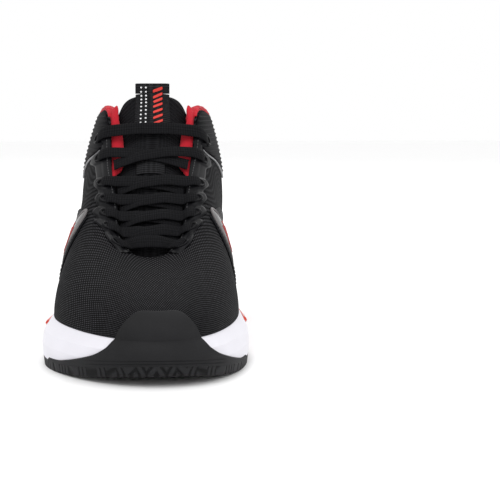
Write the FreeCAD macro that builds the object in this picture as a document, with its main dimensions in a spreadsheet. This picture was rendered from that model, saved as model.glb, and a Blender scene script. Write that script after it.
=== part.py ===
"""Basketball high top, right shoe: toe towards -Y, medial side towards +X, standing on Z = 0.

The shoe is a sole form and an upper skin, both drawn from sixteen stations round the shoe.
Every panel, lining and pad is a layer of that skin, so a changed size carries all of them along.
"""
import FreeCAD, Part
import math
import os
from types import SimpleNamespace
from FreeCAD import Placement, Rotation, Vector

doc = FreeCAD.newDocument("HighTop")

# ---------------------------------------------------------------- driving dimensions

SIZES = (
    ("shoe_length", 300, "heel to toe"),
    ("ball_width", 109, "sole across the ball"),
    ("middle_shift", 1.0, "brings the middle of the whole shoe to x 0"),
    ("collar_height", 134, "ground to the front of the collar"),
    ("toe_stack", 23, "midsole edge above the ground at the toe"),
    ("ball_stack", 26.8, "the same at the ball"),
    ("waist_stack", 37.5, "the same at the waist"),
    ("heel_side_stack", 42, "the same beside the heel"),
    ("heel_stack", 50, "the same at the back of the heel"),
    ("toe_spring", 6, "toe above the ground"),
    ("heel_bevel", 2.5, "back of the heel above the ground"),
    ("arch_lift", 2.5, "shank above the ground"),
    ("fore_outsole", 5, "rubber under the forefoot"),
    ("heel_outsole", 8, "rubber under the heel"),
    ("fore_footbed", 13, "tray floor at the ball"),
    ("heel_footbed", 27, "tray floor at the heel"),
    ("tray_ledge", 6.5, "rim round the tray that the upper stands on"),
    ("board_thickness", 1.6, "lasting board"),
    ("sockliner_thickness", 4, "removable insole"),
    ("sole_fit", 0.2, "gap round the board and the insole"),
    ("upper_thickness", 1.2, "knit mesh"),
    ("stiffener_thickness", 0.6, "toe puff and heel counter"),
    ("lining_thickness", 0.7, "textile lining"),
    ("overlay_thickness", 1.1, "synthetic panels"),
    ("trim_thickness", 0.9, "badges and raised marks"),
    ("layer_gap", 0.05, "glue line between layers"),
    ("collar_pad", 2.6, "foam in the collar"),
    ("roll_height", 3.8, "padded roll above the collar edge"),
    ("eyestay_width", 15, "band beside the throat"),
    ("eyelet_setback", 8, "eyelet from the throat edge"),
    ("eyelet_bore", 4.5, "lace hole"),
    ("lace_width", 8, "flat lace"),
    ("lace_thickness", 1.2, "flat lace"),
    ("lace_clearance", 0.75, "lace above the panels"),
    ("aglet_length", 16, "lace tip"),
    ("aglet_radius", 1.2, "lace tip"),
    ("tongue_pad", 5, "foam in the tongue"),
    ("tongue_half_width", 21.5, "tongue at its top"),
    ("tongue_drop", 9, "tongue side below its crown"),
    ("tab_width", 21, "pull loop"),
    ("tab_thickness", 1.2, "pull loop webbing"),
    ("tab_height", 5.8, "pull loop above the tongue"),
    ("tab_fold", 4.4, "pull loop front to back"),
    ("heel_tab_width", 17, "webbing over the heel"),
    ("ring_half_width", 13.5, "ankle ring"),
    ("ring_half_height", 18, "ankle ring"),
    ("ring_rim", 3.6, "ankle ring, rim"),
    ("badge_half_width", 11, "side badge"),
    ("badge_half_height", 17, "side badge"),
    ("band_height", 9, "translucent band round the heel"),
    ("band_proud", 1.4, "band in front of the midsole"),
    ("bumper_thickness", 1.6, "toe bumper rubber"),
)

sheet = doc.addObject("Spreadsheet::Sheet", "Sizes")
for row, (name, value, note) in enumerate(SIZES, start=1):
    sheet.set("A%d" % row, name)
    sheet.set("B%d" % row, str(value))
    sheet.set("C%d" % row, note)
    sheet.setAlias("B%d" % row, name)
doc.recompute()
S = SimpleNamespace(**{name: float(sheet.get(name)) for name, _, _ in SIZES})

HALF_LENGTH = S.shoe_length / 2
HALF_WIDTH = S.ball_width / 2

# ---------------------------------------------------------------- stations round the shoe

# Toe, up the medial side to the heel, and back along the lateral side.  Outline x and top x are
# shares of the half width, the ys of the half length, and top z of the collar height.  Lean is the
# profile's turn in degrees, belly its bulge and flare the midsole's overhang, in millimetres.
STATIONS = (
    (0.11, -1.00, 0.02, -0.35, 0.410, 64, 1, 4.5),
    (0.65, -0.89, 0.31, -0.29, 0.455, 58, 0, 5),
    (0.97, -0.58, 0.39, -0.13, 0.580, 38, 0, 6),
    (0.99, -0.28, 0.44, 0.02, 0.725, 20, 0, 5),
    (0.88, 0.02, 0.51, 0.17, 0.870, 15, 2, 4),
    (0.86, 0.30, 0.57, 0.29, 1.000, 22, 5, 5),
    (0.94, 0.60, 0.73, 0.55, 0.970, 22, 5, 7.5),
    (0.77, 0.88, 0.62, 0.83, 0.895, 25, 3, 6),
    (0.11, 1.00, 0.11, 0.95, 0.860, 25, 3, 4.5),
    (-0.53, 0.88, -0.42, 0.83, 0.895, 25, 3, 4),
    (-0.72, 0.60, -0.55, 0.55, 0.970, 22, 5, 3),
    (-0.77, 0.30, -0.44, 0.29, 1.000, 20, 4, 3.5),
    (-0.86, 0.00, -0.39, 0.17, 0.870, 15, 2, 4),
    (-1.01, -0.30, -0.37, 0.02, 0.725, 20, 0, 6),
    (-0.99, -0.59, -0.31, -0.13, 0.580, 38, 0, 6.5),
    (-0.50, -0.90, -0.26, -0.29, 0.455, 58, 0, 5),
)
COUNT = len(STATIONS)
OUT_X, OUT_Y, TOP_X, TOP_Y, TOP_Z, LEAN, BELLY, FLARE = range(8)
GROUND_INSET = 1.2
TOE_INSET = 2.5


def bending(values):
    """Second derivatives of the closed cubic spline through the values."""
    bends = [0.0] * COUNT
    for _ in range(60):
        for i in range(COUNT):
            after = (i + 1) % COUNT
            pull = 6 * (values[after] - 2 * values[i] + values[i - 1])
            bends[i] = (pull - bends[i - 1] - bends[after]) / 4
    return bends


COLUMNS = [list(column) for column in zip(*STATIONS)]
BENDS = [bending(column) for column in COLUMNS]


def station(column, a):
    """A station column at any place a round the shoe, 0 at the toe and 8 at the heel."""
    values, bends = COLUMNS[column], BENDS[column]
    first = math.floor(a)
    t = a - first
    first %= COUNT
    after = (first + 1) % COUNT
    flat = values[first] * (1 - t) + values[after] * t
    return flat + ((1 - t) ** 3 - (1 - t)) * bends[first] / 6 + (t ** 3 - t) * bends[after] / 6


def through(knots, at):
    """A smooth line through (place, value) knots."""
    if at <= knots[0][0]:
        return knots[0][1]
    if at >= knots[-1][0]:
        return knots[-1][1]
    k = max(i for i in range(len(knots) - 1) if knots[i][0] <= at)
    x0, v0 = knots[k]
    x1, v1 = knots[k + 1]

    def slope(i):
        low, high = max(i - 1, 0), min(i + 1, len(knots) - 1)
        return (knots[high][1] - knots[low][1]) / (knots[high][0] - knots[low][0])

    span = x1 - x0
    t = (at - x0) / span
    start = (1 + 2 * t) * (1 - t) ** 2 * v0 + t * (1 - t) ** 2 * span * slope(k)
    return start + t * t * (3 - 2 * t) * v1 + t * t * (t - 1) * span * slope(k + 1)


# ---------------------------------------------------------------- sole lines seen from the side

FEATHER_KNOTS = (
    (-1.0, S.toe_stack), (-0.3, S.ball_stack), (0.3, S.waist_stack), (0.7, S.heel_side_stack),
    (1.0, S.heel_stack),
)
FOOTBED_KNOTS = (
    (-1.0, S.fore_footbed + 2), (-0.4, S.fore_footbed), (0.35, S.heel_footbed - 5),
    (0.7, S.heel_footbed), (1.0, S.heel_footbed),
)
TOE_LIFT_FROM = -0.60
HEEL_LIFT_FROM = 0.83
ARCH_FROM = -0.07
ARCH_TO = 0.37


def ground(y):
    """Underside of the rubber."""
    v = y / HALF_LENGTH
    if v < TOE_LIFT_FROM:
        return S.toe_spring * ((TOE_LIFT_FROM - v) / (1 + TOE_LIFT_FROM)) ** 2
    if v > HEEL_LIFT_FROM:
        return S.heel_bevel * ((v - HEEL_LIFT_FROM) / (1 - HEEL_LIFT_FROM)) ** 2
    if ARCH_FROM < v < ARCH_TO:
        return S.arch_lift * math.sin(math.pi * (v - ARCH_FROM) / (ARCH_TO - ARCH_FROM)) ** 2
    return 0.0


def outsole_top(y):
    rubber = through(((-0.1, S.fore_outsole), (0.45, S.heel_outsole)), y / HALF_LENGTH)
    return ground(y) + rubber


def feather(y):
    """Line where the upper meets the midsole."""
    return through(FEATHER_KNOTS, y / HALF_LENGTH)


def footbed(y):
    return through(FOOTBED_KNOTS, y / HALF_LENGTH)


# ---------------------------------------------------------------- sole wall and upper skin

def outline(a):
    """Widest sole point at a, and the level outward direction there."""
    x = HALF_WIDTH * station(OUT_X, a) + S.middle_shift
    y = HALF_LENGTH * station(OUT_Y, a)
    step = 0.001
    dx = HALF_WIDTH * (station(OUT_X, a + step) - station(OUT_X, a - step))
    dy = HALF_LENGTH * (station(OUT_Y, a + step) - station(OUT_Y, a - step))
    size = math.hypot(dx, dy)
    return x, y, dy / size, -dx / size


def wall(a, z, out=0.0):
    """Point of the sole's side wall at height z, moved outwards by out."""
    x, y, nx, ny = outline(a)
    low, high = ground(y), feather(y)
    share = min(max((z - low) / (high - low), 0), 1.15)
    if share < 0.5:
        toeward = max(0, min(1, (-y / HALF_LENGTH - 0.63) / 0.3))
        inset = (GROUND_INSET + TOE_INSET * toeward ** 2) * (1 - share / 0.5) ** 2
    else:
        inset = station(FLARE, a) * ((share - 0.5) / 0.5) ** 2
    return Vector(x + nx * (out - inset), y + ny * (out - inset), z)


def skin(a, w):
    """Point of the upper, from the feather line (w 0) to the collar or throat edge (w 1)."""
    x, y, nx, ny = outline(a)
    foot = wall(a, feather(y))
    top = Vector(HALF_WIDTH * station(TOP_X, a) + S.middle_shift,
                 HALF_LENGTH * station(TOP_Y, a), S.collar_height * station(TOP_Z, a))
    lean = math.radians(station(LEAN, a))
    turn = w * lean
    inward = (1 - math.cos(turn)) / (1 - math.cos(lean))
    upward = math.sin(turn) / math.sin(lean)
    bulge = station(BELLY, a) * math.sin(math.pi * w)
    return Vector(foot.x + (top.x - foot.x) * inward + nx * bulge,
                  foot.y + (top.y - foot.y) * inward + ny * bulge,
                  foot.z + (top.z - foot.z) * upward)


def skin_frame(a, w):
    """Directions along a and up w on the skin, with their lengths."""
    da, dw = 0.01, 0.005
    along = (skin(a + da, w) - skin(a - da, w)) / (2 * da)
    up = (skin(a, w + dw) - skin(a, w - dw)) / (2 * dw)
    return along, up


def upper(a, w, out=0.0):
    """Point at a distance out from the skin."""
    along, up = skin_frame(a, w)
    return skin(a, w) + along.cross(up).normalize() * out


def girth_length(a):
    """Length of the profile at a, from the feather line to the edge."""
    points = [skin(a, k / 12) for k in range(13)]
    return sum((points[k + 1] - points[k]).Length for k in range(12))


def side_place(side, a):
    return a if side == "medial" else COUNT - a


def beside_throat(side, t, inset):
    """Skin place (a, w) that lies inset from the throat edge, straight out from t."""
    a = side_place(side, t)
    along, up = skin_frame(a, 1.0)
    cosine = along.dot(up) / (along.Length * up.Length)
    sine = math.sqrt(1 - cosine ** 2)
    down = inset / (up.Length * sine)
    return a + down * up.Length * cosine / along.Length, 1.0 - down


def throat(side, t, inset, out):
    a, w = beside_throat(side, t, inset)
    return upper(a, w, out)


# ---------------------------------------------------------------- making solids

def solid_of(faces):
    shell = Part.makeShell(faces)
    shell.sewShape()
    solid = Part.makeSolid(shell)
    if solid.Volume < 0:
        solid.reverse()
    return solid


def number(value, u, v):
    return value(u, v) if callable(value) else value


def layer(place, inner, outer, rows=13, columns=25):
    """Solid between two offsets of a surface place(u, v, out), with u and v from 0 to 1."""
    surfaces = []
    for offset in (inner, outer):
        grid = []
        for i in range(columns):
            u = i / (columns - 1)
            points = [place(u, k / (rows - 1), number(offset, u, k / (rows - 1)))
                      for k in range(rows)]
            grid.append(points)
        surface = Part.BSplineSurface()
        surface.interpolate(grid)
        surfaces.append(surface)
    faces = [surface.toShape() for surface in surfaces]
    u0, u1, v0, v1 = surfaces[0].bounds()
    edges = [[s.uIso(u0).toShape(), s.uIso(u1).toShape(), s.vIso(v0).toShape(),
              s.vIso(v1).toShape()] for s in surfaces]
    faces += [Part.makeRuledSurface(low, high) for low, high in zip(*edges)]
    return solid_of(faces)


def strap(stops, width, thickness, straight=False):
    """Flat webbing through stops of (point, direction across, outward direction)."""
    wires = []
    for point, across, outward in stops:
        across = Vector(across).normalize() * (width / 2)
        rise = Vector(outward).normalize() * thickness
        corners = [point - across, point + across, point + across + rise, point - across + rise]
        wires.append(Part.makePolygon(corners + corners[:1]))
    return Part.makeLoft(wires, True, straight)


def closed_curve(points):
    curve = Part.BSplineCurve()
    curve.interpolate(points, PeriodicFlag=True)
    return Part.Wire(curve.toShape())


def open_curve(points):
    curve = Part.BSplineCurve()
    curve.interpolate(points)
    return curve.toShape()


RING_STEPS = 48
SOLE_LEVELS = (-2, 6, 12, 18, 24, 31, 39, 47, 56)


def sole_form(out=0.0):
    """Side wall of the whole sole as one solid, cut to its pieces later."""
    level_scale = S.heel_stack / 50
    rings = []
    for level in SOLE_LEVELS:
        z = level * level_scale
        rings.append(closed_curve([wall(COUNT * k / RING_STEPS, z, out)
                                   for k in range(RING_STEPS)]))
    return Part.makeLoft(rings, True, True)


REACH = 1.5 * HALF_WIDTH
HEIGHT_STEPS = 24


def height_edges(level, front, back):
    """Edges along a height line, one for each stretch of it and straight where it is level."""
    changes = [share * HALF_LENGTH
               for share in (TOE_LIFT_FROM, ARCH_FROM, ARCH_TO, HEEL_LIFT_FROM)]
    places = [front] + [y for y in changes if front + 1 < y < back - 1] + [back]
    edges = []
    for first, last in zip(places, places[1:]):
        points = []
        for k in range(HEIGHT_STEPS + 1):
            y = first + (last - first) * k / HEIGHT_STEPS
            points.append(Vector(-REACH, y, level(y)))
        heights = [point.z for point in points]
        is_level = max(heights) - min(heights) < 1e-9
        edges.append(Part.makeLine(points[0], points[-1]) if is_level else open_curve(points))
    return edges


def slab(low, high, back, front):
    """Block right across the shoe between two height lines, from y front to y back."""
    edges = height_edges(low, front, back) + height_edges(high, front, back)
    for y in (front, back):
        edges.append(Part.makeLine(Vector(-REACH, y, low(y)), Vector(-REACH, y, high(y))))
    face = Part.Face(Part.Wire(Part.sortEdges(edges)[0]))
    return face.extrude(Vector(2 * REACH, 0, 0))


def footprint(inset):
    """Prism of the feather outline, moved inwards."""
    points = []
    for k in range(RING_STEPS):
        a = COUNT * k / RING_STEPS
        _, y, nx, ny = outline(a)
        edge = wall(a, feather(y), -inset)
        points.append(Vector(edge.x, edge.y, 0))
    return Part.Face(closed_curve(points)).extrude(Vector(0, 0, 2 * S.heel_stack))


def oval_cutter(centre, outward, half_width, half_height):
    """Oval rod through a place on the skin, its long axis upright."""
    outward = Vector(outward.x, outward.y, 0).normalize()
    turn = Rotation(outward.cross(Vector(0, 0, 1)) * -1, Vector(0, 0, 1), outward, "ZYX")
    ellipse = Part.Ellipse(Vector(0, 0, 0), half_height, half_width)
    face = Part.Face(Part.Wire(ellipse.toShape()))
    face.rotate(Vector(0, 0, 0), Vector(0, 0, 1), 90)
    rod = face.extrude(Vector(0, 0, 24))
    rod.translate(Vector(0, 0, -12))
    rod.Placement = Placement(centre, turn).multiply(rod.Placement)
    return rod


# ---------------------------------------------------------------- the document's objects

PARTS = {}


def feature(name, shape):
    """A sub-part whose free-form shape is set from the sheet's sizes."""
    part = doc.addObject("Part::Feature", name)
    part.Label = name
    part.Shape = shape
    part.Placement = Placement()
    PARTS[name] = part
    return part


def helper(name, shape):
    part = doc.addObject("Part::Feature", name)
    part.Shape = shape
    return part


def boolean(kind, name, base, tool, keep=True):
    part = doc.addObject("Part::" + kind, name)
    part.Base = base
    part.Tool = tool
    part.Label = name
    if keep:
        PARTS[name] = part
    return part


# ---------------------------------------------------------------- sole

SHANK_FRONT = -0.02
SHANK_BACK = 0.40
FAR = 1.2 * HALF_LENGTH


def make_sole():
    form = helper("sole_wall_form", sole_form())
    fore_y, back_y = SHANK_FRONT * HALF_LENGTH, SHANK_BACK * HALF_LENGTH
    joint = S.layer_gap
    for name, front, back in (("outsole_forefoot", -FAR, fore_y - joint),
                              ("arch_shank", fore_y + joint, back_y - joint),
                              ("outsole_heel", back_y + joint, FAR)):
        block = helper(name + "_block", slab(ground, lambda y: outsole_top(y) - joint, back, front))
        boolean("Common", name, form, block)
    body = helper("midsole_block", slab(outsole_top, feather, FAR, -FAR))
    blank = boolean("Common", "midsole_blank", form, body, keep=False)
    tray = footprint(S.tray_ledge).common(slab(footbed, lambda y: 2 * S.heel_stack, FAR, -FAR))
    boolean("Cut", "midsole", blank, helper("tray_form", tray))


def make_boards():
    fit = footprint(S.tray_ledge + S.sole_fit)
    gap = S.layer_gap
    board_top = lambda y: footbed(y) + gap + S.board_thickness
    liner_top = lambda y: board_top(y) + gap + S.sockliner_thickness
    outline_form = helper("board_outline", fit)
    board = helper("board_level", slab(lambda y: footbed(y) + gap, board_top, FAR, -FAR))
    liner = helper("liner_level", slab(lambda y: board_top(y) + gap, liner_top, FAR, -FAR))
    boolean("Common", "strobel_board", outline_form, board)
    boolean("Common", "sockliner", outline_form, liner)


BAND_END = 5.35
BAND_LINE = ((0.38, 19.0), (0.75, 24.0), (1.0, 30.8))
STRIPE_ENDS = (2.75, 4.1)


def make_bands():
    def heel_place(u, v, out):
        a = BAND_END + (COUNT - 2 * BAND_END) * u
        _, y, _, _ = outline(a)
        middle = through(BAND_LINE, y / HALF_LENGTH)
        taper = min(1, 0.35 + 6 * u, 0.35 + 6 * (1 - u))
        return wall(a, middle + S.band_height * taper * (v - 0.5), out)

    feature("heel_band", layer(heel_place, S.layer_gap, S.band_proud, rows=5, columns=41))
    for side in ("medial", "lateral"):
        def stripe_place(u, v, out, side=side):
            a = side_place(side, STRIPE_ENDS[0] + (STRIPE_ENDS[1] - STRIPE_ENDS[0]) * u)
            _, y, _, _ = outline(a)
            taper = min(1, 0.3 + 3 * u, 0.3 + 3 * (1 - u))
            top = feather(y) - 5
            return wall(a, top - 0.8 * S.band_height * taper * v, out)

        feature("forefoot_stripe_" + side,
                layer(stripe_place, S.layer_gap, 0.7 * S.band_proud, rows=5, columns=21))


BUMPER_REACH = 1.9
BUMPER_RISE = 0.33
BUMPER_LINE = ((0.0, 1.0), (0.36, 0.98), (0.59, 0.79), (0.68, 0.655), (0.76, 0.485), (0.83, 0.345),
               (1.03, 0.20), (1.57, 0.06), (1.9, 0.04))
BUMPER_EDGE = 0.35


def bumper_place(u, v, out):
    """Toe rubber: up the sole's wall and on over the front of the vamp."""
    a = BUMPER_REACH * (2 * u - 1)
    _, y, _, _ = outline(a)
    rise = v * through(BUMPER_LINE, abs(a))
    low, high = outsole_top(y), feather(y)
    knee = 0.5
    if rise < knee:
        return wall(a, low + (high - low) * rise / knee, out)
    climb = (rise - knee) / (1 - knee)
    return upper(a, BUMPER_RISE * climb, out)


def make_bumper():
    def face(u, v):
        across = abs(2 * u - 1)
        return S.layer_gap + BUMPER_EDGE + (S.bumper_thickness - BUMPER_EDGE) * (1 - across ** 2)

    feature("toe_bumper", layer(bumper_place, 6 * S.layer_gap, face, rows=17, columns=41))


def make_clip():
    def place(u, v, out):
        a = side_place("lateral", 4.55 + 0.75 * u)
        _, y, _, _ = outline(a)
        low = outsole_top(y)
        return wall(a, low + v * 0.62 * (feather(y) - low) * (1 - 0.25 * u), out)

    feature("arch_clip_lateral", layer(place, S.layer_gap, 2.4, rows=9, columns=11))


# ---------------------------------------------------------------- upper, linings and foam

BASE_IN = -S.upper_thickness
STIFF_OUT = BASE_IN - S.layer_gap
STIFF_IN = STIFF_OUT - S.stiffener_thickness
FOAM_OUT = STIFF_IN - S.layer_gap
LEAST_PAD = 0.6
FOAM_START = 4.4
FOAM_LOW = 0.32
SEAM = 3.0
SEAM_GAP = 0.01


def padding(a, w):
    """Thickness of the collar foam: none forward of the instep, full round the ankle."""
    place = min(a, COUNT - a)
    along = min(1, max(0, (place - FOAM_START + 0.9) / 0.8))
    up = min(1, max(0, (w - FOAM_LOW + 0.25) / 0.22))
    ease = lambda t: t * t * (3 - 2 * t)
    return LEAST_PAD + (S.collar_pad - LEAST_PAD) * ease(along) * ease(up)


FOOT_CLEARANCE = 0.004


def span(first, last, low, high):
    """Surface patch of the skin between two places round it and two up it."""
    low = max(low, FOOT_CLEARANCE)

    def place(u, v, out):
        return upper(first + (last - first) * u, low + (high - low) * v, out)
    return place


def make_upper():
    feature("vamp_mesh", layer(span(-SEAM, SEAM, 0, 1), BASE_IN, 0, rows=15, columns=33))
    feature("toe_puff", layer(span(-1.7, 1.7, 0.01, 0.26), STIFF_IN, STIFF_OUT))
    vamp_inside = FOAM_OUT - LEAST_PAD
    feature("vamp_lining", layer(span(-SEAM, SEAM, 0.005, 0.99),
                                 vamp_inside - S.lining_thickness, vamp_inside, columns=33))
    feature("heel_stiffener", layer(span(6.2, COUNT - 6.2, 0.01, 0.5), STIFF_IN, STIFF_OUT,
                                    columns=33))
    for side in ("medial", "lateral"):
        first = side_place(side, SEAM + SEAM_GAP)
        last = side_place(side, COUNT / 2 - SEAM_GAP)
        feature("quarter_" + side, layer(span(first, last, 0, 1), BASE_IN, 0, columns=33))
        place_of = lambda u, v: (first + (last - first) * u, 0.005 + 0.985 * v)
        depth = lambda u, v: FOAM_OUT - padding(*place_of(u, v))
        feature("collar_lining_" + side,
                layer(span(first, last, 0.005, 0.99), lambda u, v: depth(u, v) - S.lining_thickness,
                      depth, columns=33))
        foam_in = FOAM_OUT + S.layer_gap - S.collar_pad
        feature("collar_foam_" + side,
                layer(span(side_place(side, FOAM_START), last, FOAM_LOW, 0.99), foam_in, FOAM_OUT,
                      columns=29))


ROLL_START = 4.75
ROLL_IN = FOAM_OUT - S.collar_pad - S.lining_thickness


def make_roll():
    """Padded edge of the collar, on top of the shell, the foam and the lining."""
    def place(u, v, out):
        a = ROLL_START + (COUNT - 2 * ROLL_START) * u
        length = girth_length(a)
        taper = min(1, 0.4 + 8 * u, 0.4 + 8 * (1 - u))
        return upper(a, 1 + (0.15 + S.roll_height * taper * v) / length, out)

    feature("collar_roll", layer(place, ROLL_IN, -0.2, rows=5, columns=49))


# ---------------------------------------------------------------- panels on the upper

PANEL_IN = S.layer_gap
PANEL_OUT = PANEL_IN + S.overlay_thickness
TRIM_IN = PANEL_OUT + S.layer_gap
TRIM_OUT = TRIM_IN + S.trim_thickness
EYELET_ROWS = (0.85, 1.35, 1.80, 2.25, 2.75, 3.60, 4.22)
EYESTAY_SPAN = (0.55, 4.1)


def make_eyestays():
    for side in ("medial", "lateral"):
        def place(u, v, out, side=side):
            t = EYESTAY_SPAN[0] + (EYESTAY_SPAN[1] - EYESTAY_SPAN[0]) * u
            return throat(side, t, S.eyestay_width * (1 - v) + 0.3, out)

        band = layer(place, PANEL_IN, PANEL_OUT, rows=7, columns=31)
        holes = []
        for t in EYELET_ROWS:
            if t > EYESTAY_SPAN[1]:
                continue
            a, w = beside_throat(side, t, S.eyelet_setback)
            low, high = upper(a, w, -3), upper(a, w, 3)
            holes.append(Part.makeCylinder(S.eyelet_bore / 2, 6, low, high - low))
        blank = helper("eyestay_blank_" + side, band)
        punch = helper("eyelet_punch_" + side, Part.makeCompound(holes))
        boolean("Cut", "eyestay_" + side, blank, punch)


PIPING_START = 0.46


def make_wings():
    """Ribbed collar panels beside the top of the throat, and the piping along their edge."""
    for side in ("medial", "lateral"):
        def low_edge(u):
            return 0.93 - 0.36 * u ** 0.6

        def place(u, v, out, side=side, low_edge=low_edge):
            a = side_place(side, 4.22 + 1.6 * u)
            return upper(a, low_edge(u) + (0.985 - low_edge(u)) * v, out)

        feature("collar_wing_" + side, layer(place, PANEL_IN, PANEL_OUT, columns=21))
        stops = []
        for k in range(9):
            u = PIPING_START + (1 - PIPING_START) * k / 8
            a, w = side_place(side, 4.22 + 1.6 * u), low_edge(u) - 0.022
            along, up = skin_frame(a, w)
            stops.append((upper(a, w, PANEL_IN), up, along.cross(up)))
        feature("collar_piping_" + side, strap(stops, 1.4, 1.3))


def oval_place(side, a, w):
    place = side_place(side, a)
    along, up = skin_frame(place, w)
    return place, skin(place, w), along.cross(up)


def make_ankle_rings():
    for side in ("medial", "lateral"):
        a, centre, outward = oval_place(side, 6.7, 0.59)
        outer = oval_cutter(centre, outward, S.ring_half_width, S.ring_half_height)
        inner = oval_cutter(centre, outward, S.ring_half_width - S.ring_rim,
                            S.ring_half_height - S.ring_rim)
        rim = layer(span(a - 0.75, a + 0.75, 0.28, 0.90), PANEL_IN, PANEL_OUT + 1.2, rows=15)
        insert = layer(span(a - 0.75, a + 0.75, 0.28, 0.90), PANEL_IN, PANEL_IN + 0.6, rows=15)
        rim_blank = helper("ankle_rim_blank_" + side, rim.common(outer))
        boolean("Cut", "ankle_ring_" + side, rim_blank, helper("ankle_bore_" + side, inner))
        hole = oval_cutter(centre, outward, S.ring_half_width - S.ring_rim - 0.1,
                           S.ring_half_height - S.ring_rim - 0.1)
        boolean("Common", "ankle_ring_insert_" + side,
                helper("ankle_mesh_blank_" + side, insert),
                helper("ankle_mesh_oval_" + side, hole))


BADGE_PLACE = (3.2, 0.47)


def saddle_place(side, u, v, out):
    """Midfoot overlay, from its curved front edge beside the ball back to the waist."""
    front = 2.70 + 0.50 * (1 - v) ** 2
    a = front + (5.1 - front) * u
    return upper(side_place(side, a), 0.015 + (0.72 - 0.42 * u ** 1.2) * v, out)


def make_saddles():
    for side in ("medial", "lateral"):
        def place(u, v, out, side=side):
            return saddle_place(side, u, v, out)

        feature("saddle_" + side, layer(place, PANEL_IN, PANEL_OUT, rows=15, columns=21))
        a, centre, outward = oval_place(side, *BADGE_PLACE)
        oval = oval_cutter(centre, outward, S.badge_half_width, S.badge_half_height)
        plate = layer(span(a - 0.75, a + 0.75, 0.10, 0.85), TRIM_IN, TRIM_OUT)
        boolean("Common", "side_badge_" + side, helper("badge_blank_" + side, plate),
                helper("badge_oval_" + side, oval))


COVER_TOP = 0.58
HEEL_PANEL_REACH = 0.66


def make_heel():
    def cover_half(v):
        return 1.22 - 0.42 * v - 0.16 * max(0, v - 0.8) * 5

    def cover(u, v, out):
        a = COUNT / 2 + cover_half(v) * (2 * u - 1)
        return upper(a, 0.012 + (COVER_TOP - 0.012) * v, out)

    feature("heel_cover", layer(cover, PANEL_IN, TRIM_OUT - 0.4, rows=13, columns=25))
    for side in ("medial", "lateral"):
        inner_edge = side_place(side, COUNT / 2 - 0.30)
        outer_edge = side_place(side, COUNT / 2 - HEEL_PANEL_REACH)
        feature("heel_panel_" + side,
                layer(span(outer_edge, inner_edge, COVER_TOP + 0.03, 0.985), PANEL_IN, PANEL_OUT))
        stops = []
        for k in range(7):
            a = side_place(side, COUNT / 2 - HEEL_PANEL_REACH - 0.06 - 0.12 * (k / 6) ** 2)
            w = 0.98 - (0.98 - COVER_TOP - 0.04) * k / 6
            along, up = skin_frame(a, w)
            stops.append((upper(a, w, PANEL_IN), along, along.cross(up)))
        feature("heel_piping_" + side, strap(stops, 2.6, 1.6))
    bars = []
    for k in range(5):
        middle = COUNT / 2 + 0.22 * (k - 2)

        def bar(u, v, out, middle=middle):
            return upper(middle + 0.10 * (u - 0.5) + 0.08 * (v - 0.5), 0.37 + 0.10 * v, out)

        bars.append(layer(bar, TRIM_OUT - 0.35, TRIM_OUT + 0.35, rows=5, columns=5))
    feature("heel_emblem", Part.makeCompound(bars))


INNER_SAG = 1.9


def make_heel_tab():
    """Ribbed webbing from inside the collar, over the roll and down to the heel cover."""
    back = COUNT / 2
    length = girth_length(back)
    middle = ROLL_IN / 2
    hump = 0.5 * math.hypot(ROLL_IN, 2 * S.roll_height) + 1.3
    sideways = Vector(1, 0, 0)

    def stop(w, out, facing):
        along, up = skin_frame(back, w)
        return upper(back, w, out), sideways, along.cross(up) * facing

    stops = [stop(w, ROLL_IN - INNER_SAG, -1) for w in (0.80, 0.86, 0.92)]
    along, up = skin_frame(back, 1.0)
    outward, upward = along.cross(up).normalize(), up.normalize()
    centre = upper(back, 1 + 0.2 / length, middle)
    for k in range(9):
        turn = math.pi * k / 8
        ray = outward * -math.cos(turn) + upward * math.sin(turn)
        stops.append((centre + ray * hump, sideways, ray))
    stops += [stop(w, PANEL_OUT + 0.15, 1) for w in (0.90, 0.82, 0.74, COVER_TOP + 0.02)]
    feature("heel_pull_tab", strap(stops, S.heel_tab_width, 1.2, straight=True))


# ---------------------------------------------------------------- tongue

def throat_middle(t):
    return (skin(t, 1.0) + skin(COUNT - t, 1.0)) / 2


TONGUE_TOP = 6.0
FLAP = throat_middle(5)
BASE = throat_middle(0)
TONGUE_KNOTS = (
    (0.0, BASE + Vector(0, -7, -6)),
    (0.6, BASE + Vector(0, 2, -4.2)),
    (1.3, throat_middle(1.3) + Vector(0, 0, -1.2)),
    (2.0, throat_middle(2)),
    (3.0, throat_middle(3)),
    (4.0, throat_middle(4)),
    (4.8, throat_middle(4.8) + Vector(0, -1.5, 0)),
    (5.4, FLAP + Vector(0, -1, 5)),
    (TONGUE_TOP, FLAP + Vector(0, 1, 10.5)),
)
TONGUE_WIDTH_KNOTS = ((0.0, 0.88), (1.0, 0.92), (2.5, 1.05), (4.0, 1.09), (5.0, 1.0), (6.0, 0.98))


def tongue_line(t):
    axes = [through([(place, point[axis]) for place, point in TONGUE_KNOTS], t)
            for axis in range(3)]
    return Vector(*axes)


def tongue_normal(t):
    ahead = tongue_line(min(t + 0.05, TONGUE_TOP)) - tongue_line(max(t - 0.05, 0))
    return Vector(1, 0, 0).cross(ahead).normalize()


def tongue_half(t):
    return S.tongue_half_width * through(TONGUE_WIDTH_KNOTS, t)


def tongue(side_share, t, out):
    """Point of the tongue: side_share from -1 to 1 across it, out from its top face."""
    crown = 1.5 * min(1, t / 1.5)
    rise = crown - S.tongue_drop * side_share ** 2 + out
    sideways = Vector(1, 0, 0) * (side_share * tongue_half(t))
    return tongue_line(t) + sideways + tongue_normal(t) * rise


def tongue_span(half, low, high):
    """Patch of the tongue; its top corners are rounded where it reaches the tongue's top."""
    def place(u, v, out):
        across = half * (2 * u - 1)
        top = high - 0.75 * abs(across) ** 3.5 if high >= TONGUE_TOP else high
        return tongue(across, low + (top - low) * v, out)
    return place


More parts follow.
